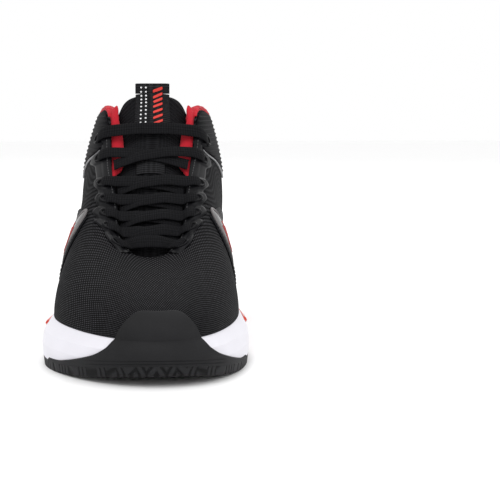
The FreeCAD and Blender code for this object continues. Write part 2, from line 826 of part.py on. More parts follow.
SHELL = 0.9
LEAST_TONGUE_PAD = 1.0
TONGUE_BACK = -SHELL - S.tongue_pad - 2 * S.layer_gap


def tongue_back(u, v, low=0.0, high=TONGUE_TOP):
    """Offset of the tongue's lining: the foam thins out towards the sewn base."""
    t = low + (high - low) * v
    pad = through(((0.0, LEAST_TONGUE_PAD), (2.0, S.tongue_pad)), t)
    return -SHELL - pad - 2 * S.layer_gap


def make_tongue():
    gap = S.layer_gap
    feature("tongue_shell", layer(tongue_span(1.0, 0, TONGUE_TOP), -SHELL, 0, rows=25))
    foam_back = lambda u, v: tongue_back(u, v, 0.1) + gap
    lining_back = lambda u, v: tongue_back(u, v) - S.lining_thickness
    feature("tongue_foam", layer(tongue_span(0.97, 0.1, TONGUE_TOP), foam_back, -SHELL - gap,
                                 rows=25))
    feature("tongue_lining", layer(tongue_span(1.0, 0, TONGUE_TOP), lining_back, tongue_back,
                                   rows=25))
    label_out = TONGUE_BACK - S.lining_thickness - gap
    feature("tongue_label", layer(tongue_span(0.62, 4.3, 5.35), label_out - 0.4, label_out,
                                  rows=7, columns=11))
    feature("lace_keeper", layer(tongue_span(0.36, 2.98, 3.34), gap, 1.0, rows=7, columns=9))
    feature("tongue_tab_strap", layer(
        tongue_span(S.tab_width / 2 / S.tongue_half_width, 4.62, TONGUE_TOP - 0.12),
        gap, 0.9, rows=11, columns=9))


LOOP_CLEARANCE = 1.4


def plane_of(body, role):
    return [part for part in body.Origin.OriginFeatures if part.Role == role][0]


def make_pull_loop():
    """Folded webbing that stands on the tongue's top, drawn as an upright hoop and padded."""
    body = doc.addObject("PartDesign::Body", "tongue_pull_loop")
    body.Label = "tongue_pull_loop"
    sketch = body.newObject("Sketcher::SketchObject", "loop_profile")
    sketch.AttachmentSupport = [(plane_of(body, "YZ_Plane"), "")]
    sketch.MapMode = "FlatFace"
    outer = S.tab_fold / 2
    bore = outer - S.tab_thickness
    height = S.tab_height - outer
    line, arc, circle = Part.LineSegment, Part.ArcOfCircle, Part.Circle
    up = Vector(0, 0, 1)
    shapes = (
        line(Vector(-outer, 0, 0), Vector(-bore, 0, 0)),
        line(Vector(-bore, 0, 0), Vector(-bore, height, 0)),
        arc(circle(Vector(0, height, 0), up, bore), 0, math.pi),
        line(Vector(bore, height, 0), Vector(bore, 0, 0)),
        line(Vector(bore, 0, 0), Vector(outer, 0, 0)),
        line(Vector(outer, 0, 0), Vector(outer, height, 0)),
        arc(circle(Vector(0, height, 0), up, outer), 0, math.pi),
        line(Vector(-outer, height, 0), Vector(-outer, 0, 0)),
    )
    for shape in shapes:
        sketch.addGeometry(shape, False)
    pad = body.newObject("PartDesign::Pad", "loop_pad")
    pad.Profile = sketch
    pad.setExpression("Length", "Sizes.tab_width")
    pad.Midplane = True
    body.Tip = pad
    root = tongue(0, TONGUE_TOP, TONGUE_BACK / 2) + Vector(0, 0, LOOP_CLEARANCE)
    body.Placement = Placement(root, Rotation())
    PARTS["tongue_pull_loop"] = body


# ---------------------------------------------------------------- lacing

LACE_OUT = PANEL_OUT + S.lace_clearance


def eyelet_stop(side, t, inset, out):
    a, w = beside_throat(side, t, inset)
    along, up = skin_frame(a, w)
    edge_along, _ = skin_frame(side_place(side, t), 1.0)
    if side == "lateral":
        edge_along = edge_along * -1
    return upper(a, w, out), edge_along, along.cross(up)


def lace_run(from_side, t_from, from_hole, to_side, t_to, to_hole, lift):
    """A run of lace across the throat, from an eyelet or from under the throat edge."""
    def end(side, t, hole):
        if hole:
            return [eyelet_stop(side, t, inset, LACE_OUT) for inset in (S.eyelet_setback, 4, 0.5)]
        return [eyelet_stop(side, t, -1.2, 0.2)]

    start = end(from_side, t_from, from_hole)
    finish = end(to_side, t_to, to_hole)[::-1]
    first, last = start[-1][0], finish[0][0]
    middle = []
    for share in (0.3, 0.5, 0.7):
        t = t_from + (t_to - t_from) * share
        chord = first + (last - first) * share
        normal = tongue_normal(t)
        swell = 1.9 * (1 - (2 * share - 1) ** 2) + lift
        along = (tongue_line(t + 0.1) - tongue_line(t - 0.1)).normalize()
        middle.append((chord + normal * swell, along, normal))
    return strap(start + middle + finish, S.lace_width, S.lace_thickness)


def make_lace():
    runs = [lace_run("medial", EYELET_ROWS[0], True, "lateral", EYELET_ROWS[0], True, 0.9)]
    for below, row in zip(EYELET_ROWS[:-2], EYELET_ROWS[1:-1]):
        under = below + 0.62 * (row - below)
        runs.append(lace_run("medial", under, False, "lateral", row, True, 0.6))
        runs.append(lace_run("lateral", under, False, "medial", row, True, 2.0))
    runs.append(lace_run("medial", EYELET_ROWS[-1], True, "lateral", EYELET_ROWS[-1], True, 0.9))
    feature("lace", Part.makeCompound(runs))
    for side in ("medial", "lateral"):
        stops = []
        for a_near in (5.0, 5.2, 5.4, 5.6):
            a = side_place(side, a_near)
            along, up = skin_frame(a, 0.88)
            stops.append((upper(a, 0.88, ROLL_IN - S.lace_thickness - 0.1), up, along.cross(up)))
        feature("lace_tail_" + side, strap(stops, 0.7 * S.lace_width, S.lace_thickness))


def make_aglets():
    for side in ("medial", "lateral"):
        out = ROLL_IN - S.aglet_radius - 0.15
        start = upper(side_place(side, 5.66), 0.88, out)
        ahead = upper(side_place(side, 6.1), 0.87, out)
        rod = doc.addObject("Part::Cylinder", "aglet_" + side)
        rod.Label = "aglet_" + side
        rod.setExpression("Radius", "Sizes.aglet_radius")
        rod.setExpression("Height", "Sizes.aglet_length")
        rod.Placement = Placement(start, Rotation(Vector(0, 0, 1), ahead - start))
        PARTS["aglet_" + side] = rod


# ---------------------------------------------------------------- build, check and write

make_sole()
make_boards()
make_bands()
make_bumper()
make_clip()
make_upper()
make_roll()
make_eyestays()
make_wings()
make_ankle_rings()
make_saddles()
make_heel()
make_heel_tab()
make_tongue()
make_pull_loop()
make_lace()
make_aglets()
doc.recompute()

for item in doc.Objects:
    if "Invalid" in item.State or "Error" in item.State:
        raise RuntimeError("%s failed: %s" % (item.Name, item.State))
for name, part in PARTS.items():
    if part.Shape.isNull() or not part.Shape.isValid() or part.Shape.Volume <= 0:
        raise RuntimeError("%s has no valid solid" % name)

os.makedirs("parts", exist_ok=True)
for name, part in PARTS.items():
    part.Shape.exportStep("parts/%s.step" % name)
print(len(PARTS), "sub-parts written")
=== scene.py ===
"""Basketball high top, right shoe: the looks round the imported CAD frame.

The toe points along -Y and the medial side is +X.  Shapes are worked out in millimetres from the
same stations as the design and put in metres at the end.
"""
import math

import bpy
import numpy as np
from bpy.props import FloatProperty, FloatVectorProperty, PointerProperty
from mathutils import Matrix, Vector


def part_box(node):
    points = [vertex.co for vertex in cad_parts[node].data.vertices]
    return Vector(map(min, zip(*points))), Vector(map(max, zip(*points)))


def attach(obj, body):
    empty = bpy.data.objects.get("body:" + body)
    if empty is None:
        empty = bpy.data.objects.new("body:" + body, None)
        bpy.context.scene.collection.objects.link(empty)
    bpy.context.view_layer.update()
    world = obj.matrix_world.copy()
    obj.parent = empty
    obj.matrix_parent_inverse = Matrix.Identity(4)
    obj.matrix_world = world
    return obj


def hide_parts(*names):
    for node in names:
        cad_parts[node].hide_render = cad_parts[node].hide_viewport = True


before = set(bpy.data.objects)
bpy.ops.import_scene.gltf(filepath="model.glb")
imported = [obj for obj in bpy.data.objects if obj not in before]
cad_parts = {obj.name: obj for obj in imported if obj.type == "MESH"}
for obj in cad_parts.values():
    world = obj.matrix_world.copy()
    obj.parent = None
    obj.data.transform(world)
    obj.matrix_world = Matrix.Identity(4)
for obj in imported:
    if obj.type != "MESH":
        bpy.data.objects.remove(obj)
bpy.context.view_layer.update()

bl_info = {
    "name": "High Top Shoe",
    "version": (1, 0, 0),
    "blender": (4, 5, 0),
    "location": "View3D > Sidebar > High Top",
    "description": "Builds the fabric, rubber and trim of a basketball high top",
    "category": "Add Mesh",
}

MM = 0.001
TAU = 2 * math.pi
SIDES = ("medial", "lateral")

# ---------------------------------------------------------------- the shoe's driving form

SOLE_LOW, SOLE_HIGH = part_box("midsole")
RIM_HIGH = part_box("quarter_medial")[1]
HALF_LENGTH = (SOLE_HIGH.y - SOLE_LOW.y) / 2 / MM * 1.0012
HALF_WIDTH = (SOLE_HIGH.x - SOLE_LOW.x) / 2 / MM * 0.9765
COLLAR_HEIGHT = RIM_HIGH.z / MM - 0.9
MIDDLE = 1.0

# Shares of the half width, half length and collar height, then lean, belly and flare.
STATIONS = (
    (0.11, -1.00, 0.02, -0.35, 0.410, 64, 1, 4.5),
    (0.65, -0.89, 0.31, -0.29, 0.455, 58, 0, 5),
    (0.97, -0.58, 0.39, -0.13, 0.580, 38, 0, 6),
    (0.99, -0.28, 0.44, 0.02, 0.725, 20, 0, 5),
    (0.88, 0.02, 0.51, 0.17, 0.870, 15, 2, 4),
    (0.86, 0.30, 0.57, 0.29, 1.000, 22, 5, 5),
    (0.94, 0.60, 0.73, 0.55, 0.970, 22, 5, 7.5),
    (0.77, 0.88, 0.62, 0.83, 0.895, 25, 3, 6),
    (0.11, 1.00, 0.11, 0.95, 0.860, 25, 3, 4.5),
    (-0.53, 0.88, -0.42, 0.83, 0.895, 25, 3, 4),
    (-0.72, 0.60, -0.55, 0.55, 0.970, 22, 5, 3),
    (-0.77, 0.30, -0.44, 0.29, 1.000, 20, 4, 3.5),
    (-0.86, 0.00, -0.39, 0.17, 0.870, 15, 2, 4),
    (-1.01, -0.30, -0.37, 0.02, 0.725, 20, 0, 6),
    (-0.99, -0.59, -0.31, -0.13, 0.580, 38, 0, 6.5),
    (-0.50, -0.90, -0.26, -0.29, 0.455, 58, 0, 5),
)
COUNT = len(STATIONS)
OUT_X, OUT_Y, TOP_X, TOP_Y, TOP_Z, LEAN, BELLY, FLARE = range(8)


def bending(values):
    """Second slopes of the closed smooth line through one value at each station."""
    bends = [0.0] * COUNT
    for _ in range(60):
        for i in range(COUNT):
            after = (i + 1) % COUNT
            pull = 6 * (values[after] - 2 * values[i] + values[i - 1])
            bends[i] = (pull - bends[i - 1] - bends[after]) / 4
    return bends


COLUMNS = np.array(STATIONS, float).T
BENDS = np.array([bending(list(column)) for column in COLUMNS])


def station(column, a):
    """A station column's smooth value at place a round the shoe."""
    a = np.asarray(a, float)
    first = np.floor(a).astype(int)
    t = a - first
    first = first % COUNT
    after = (first + 1) % COUNT
    values, bends = COLUMNS[column], BENDS[column]
    flat = values[first] * (1 - t) + values[after] * t
    return flat + ((1 - t) ** 3 - (1 - t)) * bends[first] / 6 + (t ** 3 - t) * bends[after] / 6


def through(knots, at):
    """A smooth line through (place, value) knots, for a number or an array of places."""
    x = np.array([k[0] for k in knots], float)
    v = np.array([k[1] for k in knots], float)
    slope = np.gradient(v, x) if len(x) > 2 else np.full(2, (v[1] - v[0]) / (x[1] - x[0]))
    for i in range(1, len(x) - 1):
        slope[i] = (v[i + 1] - v[i - 1]) / (x[i + 1] - x[i - 1])
    at = np.clip(np.asarray(at, float), x[0], x[-1])
    k = np.clip(np.searchsorted(x, at, side="right") - 1, 0, len(x) - 2)
    span = x[k + 1] - x[k]
    t = (at - x[k]) / span
    start = (1 + 2 * t) * (1 - t) ** 2 * v[k] + t * (1 - t) ** 2 * span * slope[k]
    return start + t * t * (3 - 2 * t) * v[k + 1] + t * t * (t - 1) * span * slope[k + 1]


FEATHER_KNOTS = ((-1.0, 23), (-0.3, 26.8), (0.3, 37.5), (0.7, 42), (1.0, 50))


def ground(y):
    """Underside of the outsole, sprung at the toe and the heel and raised at the arch."""
    v = np.asarray(y, float) / HALF_LENGTH
    toe = 6 * (np.clip(-0.6 - v, 0, None) / 0.4) ** 2
    heel = 2.5 * (np.clip(v - 0.83, 0, None) / 0.17) ** 2
    arch = 2.5 * np.sin(np.pi * np.clip((v + 0.07) / 0.44, 0, 1)) ** 2
    return toe + heel + arch


def outsole_top(y):
    return ground(y) + through(((-0.1, 5), (0.45, 8)), np.asarray(y) / HALF_LENGTH)


def feather(y):
    """Height at which the upper leaves the midsole."""
    return through(FEATHER_KNOTS, np.asarray(y) / HALF_LENGTH)


def unit(vectors):
    return vectors / np.linalg.norm(vectors, axis=-1, keepdims=True)


def vec(x, y, z):
    return np.stack(np.broadcast_arrays(x, y, z), axis=-1).astype(float)


def outline(a):
    """Plan of the sole at a, with the direction out of it."""
    a = np.asarray(a, float)
    step = 0.001
    x = HALF_WIDTH * station(OUT_X, a) + MIDDLE
    y = HALF_LENGTH * station(OUT_Y, a)
    dx = HALF_WIDTH * (station(OUT_X, a + step) - station(OUT_X, a - step))
    dy = HALF_LENGTH * (station(OUT_Y, a + step) - station(OUT_Y, a - step))
    size = np.hypot(dx, dy)
    return x, y, dy / size, -dx / size


def wall(a, z, out=0.0):
    """Side wall of the sole at height z."""
    x, y, nx, ny = outline(a)
    low, high = ground(y), feather(y)
    share = np.clip((z - low) / (high - low), 0, 1.15)
    toeward = np.clip((-y / HALF_LENGTH - 0.63) / 0.3, 0, 1)
    under = (1.2 + 2.5 * toeward ** 2) * (1 - share / 0.5) ** 2
    over = station(FLARE, a) * ((share - 0.5) / 0.5) ** 2
    inset = np.where(share < 0.5, under, over)
    return vec(x + nx * (out - inset), y + ny * (out - inset), z)


def skin(a, w):
    """Lasted surface at a round the shoe and w from the feather line (0) to the top edge (1)."""
    a, w = np.broadcast_arrays(np.asarray(a, float), np.asarray(w, float))
    _, y, nx, ny = outline(a)
    foot = wall(a, feather(y))
    top = vec(HALF_WIDTH * station(TOP_X, a) + MIDDLE, HALF_LENGTH * station(TOP_Y, a),
              COLLAR_HEIGHT * station(TOP_Z, a))
    lean = np.radians(station(LEAN, a))
    turn = w * lean
    inward = (1 - np.cos(turn)) / (1 - np.cos(lean))
    upward = np.sin(turn) / np.sin(lean)
    bulge = station(BELLY, a) * np.sin(np.pi * w)
    return vec(foot[..., 0] + (top[..., 0] - foot[..., 0]) * inward + nx * bulge,
               foot[..., 1] + (top[..., 1] - foot[..., 1]) * inward + ny * bulge,
               foot[..., 2] + (top[..., 2] - foot[..., 2]) * upward)


def skin_frame(a, w):
    """Directions along and up the skin, not unit ones, and its unit normal."""
    da, dw = 0.01, 0.005
    along = (skin(a + da, w) - skin(a - da, w)) / (2 * da)
    up = (skin(a, w + dw) - skin(a, w - dw)) / (2 * dw)
    return along, up, unit(np.cross(along, up))


def upper(a, w, out=0.0):
    """Point out millimetres off the skin."""
    a, w = np.broadcast_arrays(np.asarray(a, float), np.asarray(w, float))
    _, _, normal = skin_frame(a, w)
    return skin(a, w) + normal * np.asarray(out, float)[..., None]


def side_place(side, a):
    """Station of a medial place on either side."""
    return a if side == "medial" else COUNT - a


def side_span(side, first, last):
    """Two places on a side, in the order that keeps a panel's faces outwards."""
    span = side_place(side, first), side_place(side, last)
    return span if side == "medial" else span[::-1]


def facing(side, u):
    """Runs a panel's columns so that its faces look outwards on either side."""
    return u if side == "medial" else 1 - u


def beside_throat(side, t, inset):
    """Skin place that lies inset from the throat edge, straight out from t."""
    a = side_place(side, np.asarray(t, float))
    along, up, _ = skin_frame(a, np.ones_like(a))
    la, lu = np.linalg.norm(along, axis=-1), np.linalg.norm(up, axis=-1)
    cosine = (along * up).sum(-1) / (la * lu)
    down = inset / (lu * np.sqrt(1 - cosine ** 2))
    return a + down * lu * cosine / la, 1.0 - down


def throat(side, t, inset, out):
    """Point inset from the throat edge at t, out millimetres off the skin."""
    a, w = beside_throat(side, t, inset)
    return upper(a, w, out)


# ---------------------------------------------------------------- tongue form

def throat_middle(t):
    t = np.asarray(t, float)
    return (skin(t, 1.0) + skin(COUNT - t, 1.0)) / 2


TONGUE_TOP = 6.0
FLAP = throat_middle(5)
BASE = throat_middle(0)
TONGUE_KNOTS = (
    (0.0, BASE + (0, -7, -6)),
    (0.6, BASE + (0, 2, -4.2)),
    (1.3, throat_middle(1.3) + (0, 0, -1.2)),
    (2.0, throat_middle(2)),
    (3.0, throat_middle(3)),
    (4.0, throat_middle(4)),
    (4.8, throat_middle(4.8) + (0, -1.5, 0)),
    (5.4, FLAP + (0, -1, 5)),
    (TONGUE_TOP, FLAP + (0, 1, 10.5)),
)
TONGUE_WIDTH_KNOTS = ((0.0, 0.88), (1.0, 0.92), (2.5, 1.05), (4.0, 1.09), (5.0, 1.0), (6.0, 0.98))
TONGUE_HALF = 21.5


def tongue_line(t):
    """Middle line of the tongue from its root (0) to its top."""
    t = np.clip(t, 0, TONGUE_TOP)
    return np.stack([through([(k, p[axis]) for k, p in TONGUE_KNOTS], t) for axis in range(3)], -1)


def tongue_normal(t):
    t = np.asarray(t, float)
    ahead = tongue_line(t + 0.05) - tongue_line(t - 0.05)
    return unit(np.cross(np.array([1.0, 0, 0]), ahead))


def tongue(across, t, out):
    """Point of the tongue, out from its front face; across runs from -1 to 1."""
    across, t = np.broadcast_arrays(np.asarray(across, float), np.asarray(t, float))
    half = TONGUE_HALF * through(TONGUE_WIDTH_KNOTS, t)
    rise = 1.5 * np.minimum(1, t / 1.5) - 9 * across ** 2 + out
    sideways = (across * half)[..., None] * np.array([1.0, 0, 0])
    return tongue_line(t) + sideways + tongue_normal(t) * rise[..., None]


# ---------------------------------------------------------------- mesh helpers

SEAM_MERGE = 0.000004
FINE_MERGE = 0.000001


def deselect():
    bpy.ops.object.select_all(action="DESELECT")


def select_only(obj):
    deselect()
    obj.select_set(True)
    bpy.context.view_layer.objects.active = obj


def apply_modifiers(obj):
    select_only(obj)
    for modifier in list(obj.modifiers):
        bpy.ops.object.modifier_apply(modifier=modifier.name)


def thicken(obj, thickness, offset=-1, bevel=0.0, limit=30):
    """Gives an open sheet its wall, and soft edges if a bevel is given; sizes in millimetres."""
    solid = obj.modifiers.new("wall", "SOLIDIFY")
    solid.thickness, solid.offset = thickness * MM, offset
    if bevel:
        soft = obj.modifiers.new("edge", "BEVEL")
        soft.width, soft.segments, soft.limit_method = bevel * MM, 2, "ANGLE"
        soft.angle_limit = math.radians(limit)
    apply_modifiers(obj)


def finish_piece(obj, name, material, body, angle):
    """Names and dresses a piece, smooths it below the angle and rides it on its body."""
    obj.name = name
    obj.data.name = name
    obj.data.materials.clear()
    obj.data.materials.append(material)
    select_only(obj)
    bpy.ops.object.shade_smooth_by_angle(angle=math.radians(angle))
    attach(obj, body)
    return obj


def edit_clean(obj, merge, fill=False, outward=True):
    """Merges doubled points, fills open ends if asked and turns the faces outwards."""
    select_only(obj)
    bpy.ops.object.mode_set(mode="EDIT")
    bpy.ops.mesh.select_all(action="SELECT")
    bpy.ops.mesh.remove_doubles(threshold=merge)
    if fill:
        bpy.ops.mesh.fill_holes(sides=0)
        bpy.ops.mesh.select_all(action="SELECT")
    if outward:
        bpy.ops.mesh.normals_make_consistent(inside=False)
    bpy.ops.object.mode_set(mode="OBJECT")
    return obj


def close_up(obj):
    """Joins a rolled grid along its seam and fills its ends."""
    return edit_clean(obj, SEAM_MERGE, fill=True)


def grid_mesh(columns, rows, place, size_mm=(1.0, 1.0)):
    """A grid primitive whose points go where place(u, v) says; UVs are in millimetres."""
    deselect()
    bpy.ops.mesh.primitive_grid_add(x_subdivisions=columns, y_subdivisions=rows, size=1,
                                    location=(0, 0, 0))
    obj = bpy.context.active_object
    mesh = obj.data
    flat = np.empty(len(mesh.vertices) * 3)
    mesh.vertices.foreach_get("co", flat)
    flat = flat.reshape(-1, 3)
    points = place(flat[:, 0] + 0.5, flat[:, 1] + 0.5)
    mesh.vertices.foreach_set("co", (points * MM).ravel())
    layer = mesh.uv_layers.active
    uvs = np.empty(len(mesh.loops) * 2)
    layer.data.foreach_get("uv", uvs)
    uvs = uvs.reshape(-1, 2) * np.array(size_mm)
    layer.data.foreach_set("uv", uvs.ravel())
    mesh.update()
    return obj


def skin_panel(name, material, columns, rows, place, thickness, size_mm, body="root",
               bevel=0.0, nodes=()):
    """An open sheet on the shoe, given its wall inwards."""
    obj = grid_mesh(columns, rows, place, size_mm)
    thicken(obj, thickness, bevel=bevel, limit=60)
    finish_piece(obj, name, material, body, angle=45)
    if nodes:
        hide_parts(*nodes)
    return obj


def section(v, width, thickness, power=3.0):
    """Point of a rounded flat section: offsets across and outwards."""
    angle = TAU * v
    c, s = np.cos(angle), np.sin(angle)
    across = np.sign(c) * np.abs(c) ** (2 / power) * width / 2
    rise = np.sign(s) * np.abs(s) ** (2 / power) * thickness / 2
    return across, rise


# ---------------------------------------------------------------- material helpers

def node_material(name, base, roughness, **sockets):
    material = bpy.data.materials.new(name)
    material.use_nodes = True
    shader = material.node_tree.nodes["Principled BSDF"]
    shader.inputs["Base Color"].default_value = (*base, 1)
    shader.inputs["Roughness"].default_value = roughness
    for key, value in sockets.items():
        shader.inputs[key.replace("_", " ")].default_value = value
    return material, material.node_tree, shader


def maths(tree, operation, *values):
    node = tree.nodes.new("ShaderNodeMath")
    node.operation = operation
    for socket, value in zip(node.inputs, values):
        if isinstance(value, (int, float)):
            socket.default_value = value
        else:
            tree.links.new(value, socket)
    return node.outputs[0]


def coordinates(tree, source="UV", turn=0.0):
    """Pattern coordinates in millimetres: the piece's UVs, or its own object space."""
    texture = tree.nodes.new("ShaderNodeTexCoord")
    mapping = tree.nodes.new("ShaderNodeMapping")
    scale = 1.0 if source == "UV" else 1 / MM
    mapping.inputs["Scale"].default_value = (scale, scale, scale)
    mapping.inputs["Rotation"].default_value = (0, 0, turn)
    tree.links.new(texture.outputs[source], mapping.inputs["Vector"])
    return mapping.outputs[0]


def half_up(tree, value):
    """Moves a wave from the range -1 to 1 up to 0 to 1."""
    return maths(tree, "MULTIPLY_ADD", value, 0.5, 0.5)


def split_axes(tree, vector):
    split = tree.nodes.new("ShaderNodeSeparateXYZ")
    tree.links.new(vector, split.inputs[0])
    return split.outputs


def wave(tree, vector, pitch, axis=0):
    """Soft stripes from 0 to 1, pitch millimetres apart."""
    run = split_axes(tree, vector)[axis]
    return half_up(tree, maths(tree, "SINE", maths(tree, "MULTIPLY", run, TAU / pitch)))


def shades(base, darker, lighter):
    """The base colour made darker and lighter by two factors."""
    return tuple(c * darker for c in base), tuple(min(1, c * lighter) for c in base)


def noise(tree, vector, scale, detail=3.0, roughness=0.6):
    node = tree.nodes.new("ShaderNodeTexNoise")
    node.inputs["Scale"].default_value = scale
    node.inputs["Detail"].default_value = detail
    node.inputs["Roughness"].default_value = roughness
    tree.links.new(vector, node.inputs["Vector"])
    return node.outputs["Fac"]


def blend_colours(tree, factor, low, high, low_at=0.0, high_at=1.0):
    ramp = tree.nodes.new("ShaderNodeValToRGB")
    ramp.color_ramp.elements[0].position = low_at
    ramp.color_ramp.elements[0].color = (*low, 1)
    ramp.color_ramp.elements[1].position = high_at
    ramp.color_ramp.elements[1].color = (*high, 1)
    tree.links.new(factor, ramp.inputs[0])
    return ramp.outputs[0]


def bump(tree, shader, height, strength, distance_mm):
    node = tree.nodes.new("ShaderNodeBump")
    node.inputs["Strength"].default_value = strength
    node.inputs["Distance"].default_value = distance_mm * MM
    tree.links.new(height, node.inputs["Height"])
    tree.links.new(node.outputs[0], shader.inputs["Normal"])


def colour_from(tree, shader, socket):
    tree.links.new(socket, shader.inputs["Base Color"])


def knit(name, dark, light, pitch):
    """Two sets of crossing threads with small gaps between them."""
    material, tree, shader = node_material(name, dark, 0.75, Specular_IOR_Level=0.05)
    place = coordinates(tree, "UV", math.pi / 4)
    first, second = wave(tree, place, pitch, 0), wave(tree, place, pitch, 1)
    cross = maths(tree, "MULTIPLY", first, second)
    grain = noise(tree, coordinates(tree, "Object"), 0.35, 2.0)
    shade = maths(tree, "MULTIPLY", cross, maths(tree, "ADD", grain, 0.45))
    colour_from(tree, shader, blend_colours(tree, shade, dark, light, 0.08, 0.85))
    bump(tree, shader, cross, 0.9, 0.35)
    return material


def moulded(name, base, roughness, grain_mm=0.5, strength=0.25, vary=0.25, **sockets):
    """Moulded rubber, foam or plastic with a fine grain and slight colour variation."""
    material, tree, shader = node_material(name, base, roughness, **sockets)
    place = coordinates(tree, "Object")
    fine = noise(tree, place, 1 / grain_mm, 4.0)
    broad = noise(tree, place, 0.04, 2.0)
    low, high = shades(base, 1 - vary, 1 + vary)
    mix = maths(tree, "ADD", maths(tree, "MULTIPLY", fine, 0.4), maths(tree, "MULTIPLY", broad, 0.6))
    colour_from(tree, shader, blend_colours(tree, mix, low, high, 0.3, 0.7))
    bump(tree, shader, fine, strength, 0.12)
    return material


def woven(name, dark, light, pitch_along, pitch_across, roughness=0.75, strength=0.7, **sockets):
    """Ribbed webbing, lace or lining: two fine thread directions from the piece's UVs."""
    material, tree, shader = node_material(name, dark, roughness, **sockets)
    place = coordinates(tree, "UV")
    along, across = wave(tree, place, pitch_along, 0), wave(tree, place, pitch_across, 1)
    cross = maths(tree, "ADD", maths(tree, "MULTIPLY", along, 0.65),
                  maths(tree, "MULTIPLY", across, 0.35))
    grain = noise(tree, coordinates(tree, "Object"), 0.6, 3.0)
    shade = maths(tree, "MULTIPLY", cross, maths(tree, "ADD", grain, 0.5))
    colour_from(tree, shader, blend_colours(tree, shade, dark, light, 0.15, 0.9))
    bump(tree, shader, cross, strength, 0.2)
    return material


def brushed(name, base, roughness=0.85, pile_mm=0.45, **sockets):
    """Brushed lining cloth with a short pile."""
    material, tree, shader = node_material(name, base, roughness, Sheen_Weight=0.08,
                                           Sheen_Roughness=0.5, Specular_IOR_Level=0.2, **sockets)
    place = coordinates(tree, "Object")
    pile = noise(tree, place, 1 / pile_mm, 5.0, 0.7)
    broad = noise(tree, place, 0.07, 3.0)
    mix = maths(tree, "ADD", maths(tree, "MULTIPLY", pile, 0.45),
                maths(tree, "MULTIPLY", broad, 0.55))
    low, high = shades(base, 0.72, 1.2)
    colour_from(tree, shader, blend_colours(tree, mix, low, high, 0.3, 0.7))
    bump(tree, shader, pile, 0.5, 0.15)
    return material


def tread(name, base):
    """Outsole rubber with a zigzag tread cut in from below, painted darker in its grooves as shade and
    lighter on its ribs.
    """
    material, tree, shader = node_material(name, base, 0.6, Specular_IOR_Level=0.12)
    place = coordinates(tree, "Object")
    across, along, _ = split_axes(tree, place)
    line = maths(tree, "ADD", along, maths(tree, "PINGPONG", across, 5.0))
    ribs = half_up(tree, maths(tree, "SINE", maths(tree, "MULTIPLY", line, TAU / 4.4)))
    cut = maths(tree, "SMOOTH_MIN", maths(tree, "MULTIPLY", ribs, 2.2), 1.0)
    grain = noise(tree, place, 2.5, 4.0)
    # painted shade: the grooves are coloured at half the rubber's tone and the ribs lighter, mixed with
    # random grain
    low, high = shades(base, 0.5, 1.6)
    shade = maths(tree, "MULTIPLY", cut, maths(tree, "ADD", grain, 0.5))
    colour_from(tree, shader, blend_colours(tree, shade, low, high, 0.1, 0.9))
    bump(tree, shader, cut, 0.8, 1.2)
    return material


def windows(name, deep, pale):
    """Clear gel band: deep colour at its edges and paler windows along it."""
    material, tree, shader = node_material(name, deep, 0.2, Coat_Weight=0.7, Coat_Roughness=0.08,
                                           Transmission_Weight=0.12)
    place = coordinates(tree, "UV")
    run = split_axes(tree, place)[0]
    sine = maths(tree, "SINE", maths(tree, "MULTIPLY", run, TAU / 36))
    open_part = maths(tree, "MULTIPLY", maths(tree, "SUBTRACT", sine, -0.2), 1.4)
    cloud = noise(tree, coordinates(tree, "Object"), 0.12, 2.0)
    shade = maths(tree, "MULTIPLY", open_part, maths(tree, "ADD", cloud, 0.25))
    colour_from(tree, shader, blend_colours(tree, shade, deep, pale, 0.0, 1.0))
    bump(tree, shader, cloud, 0.1, 0.3)
    return material


MATERIALS = {}


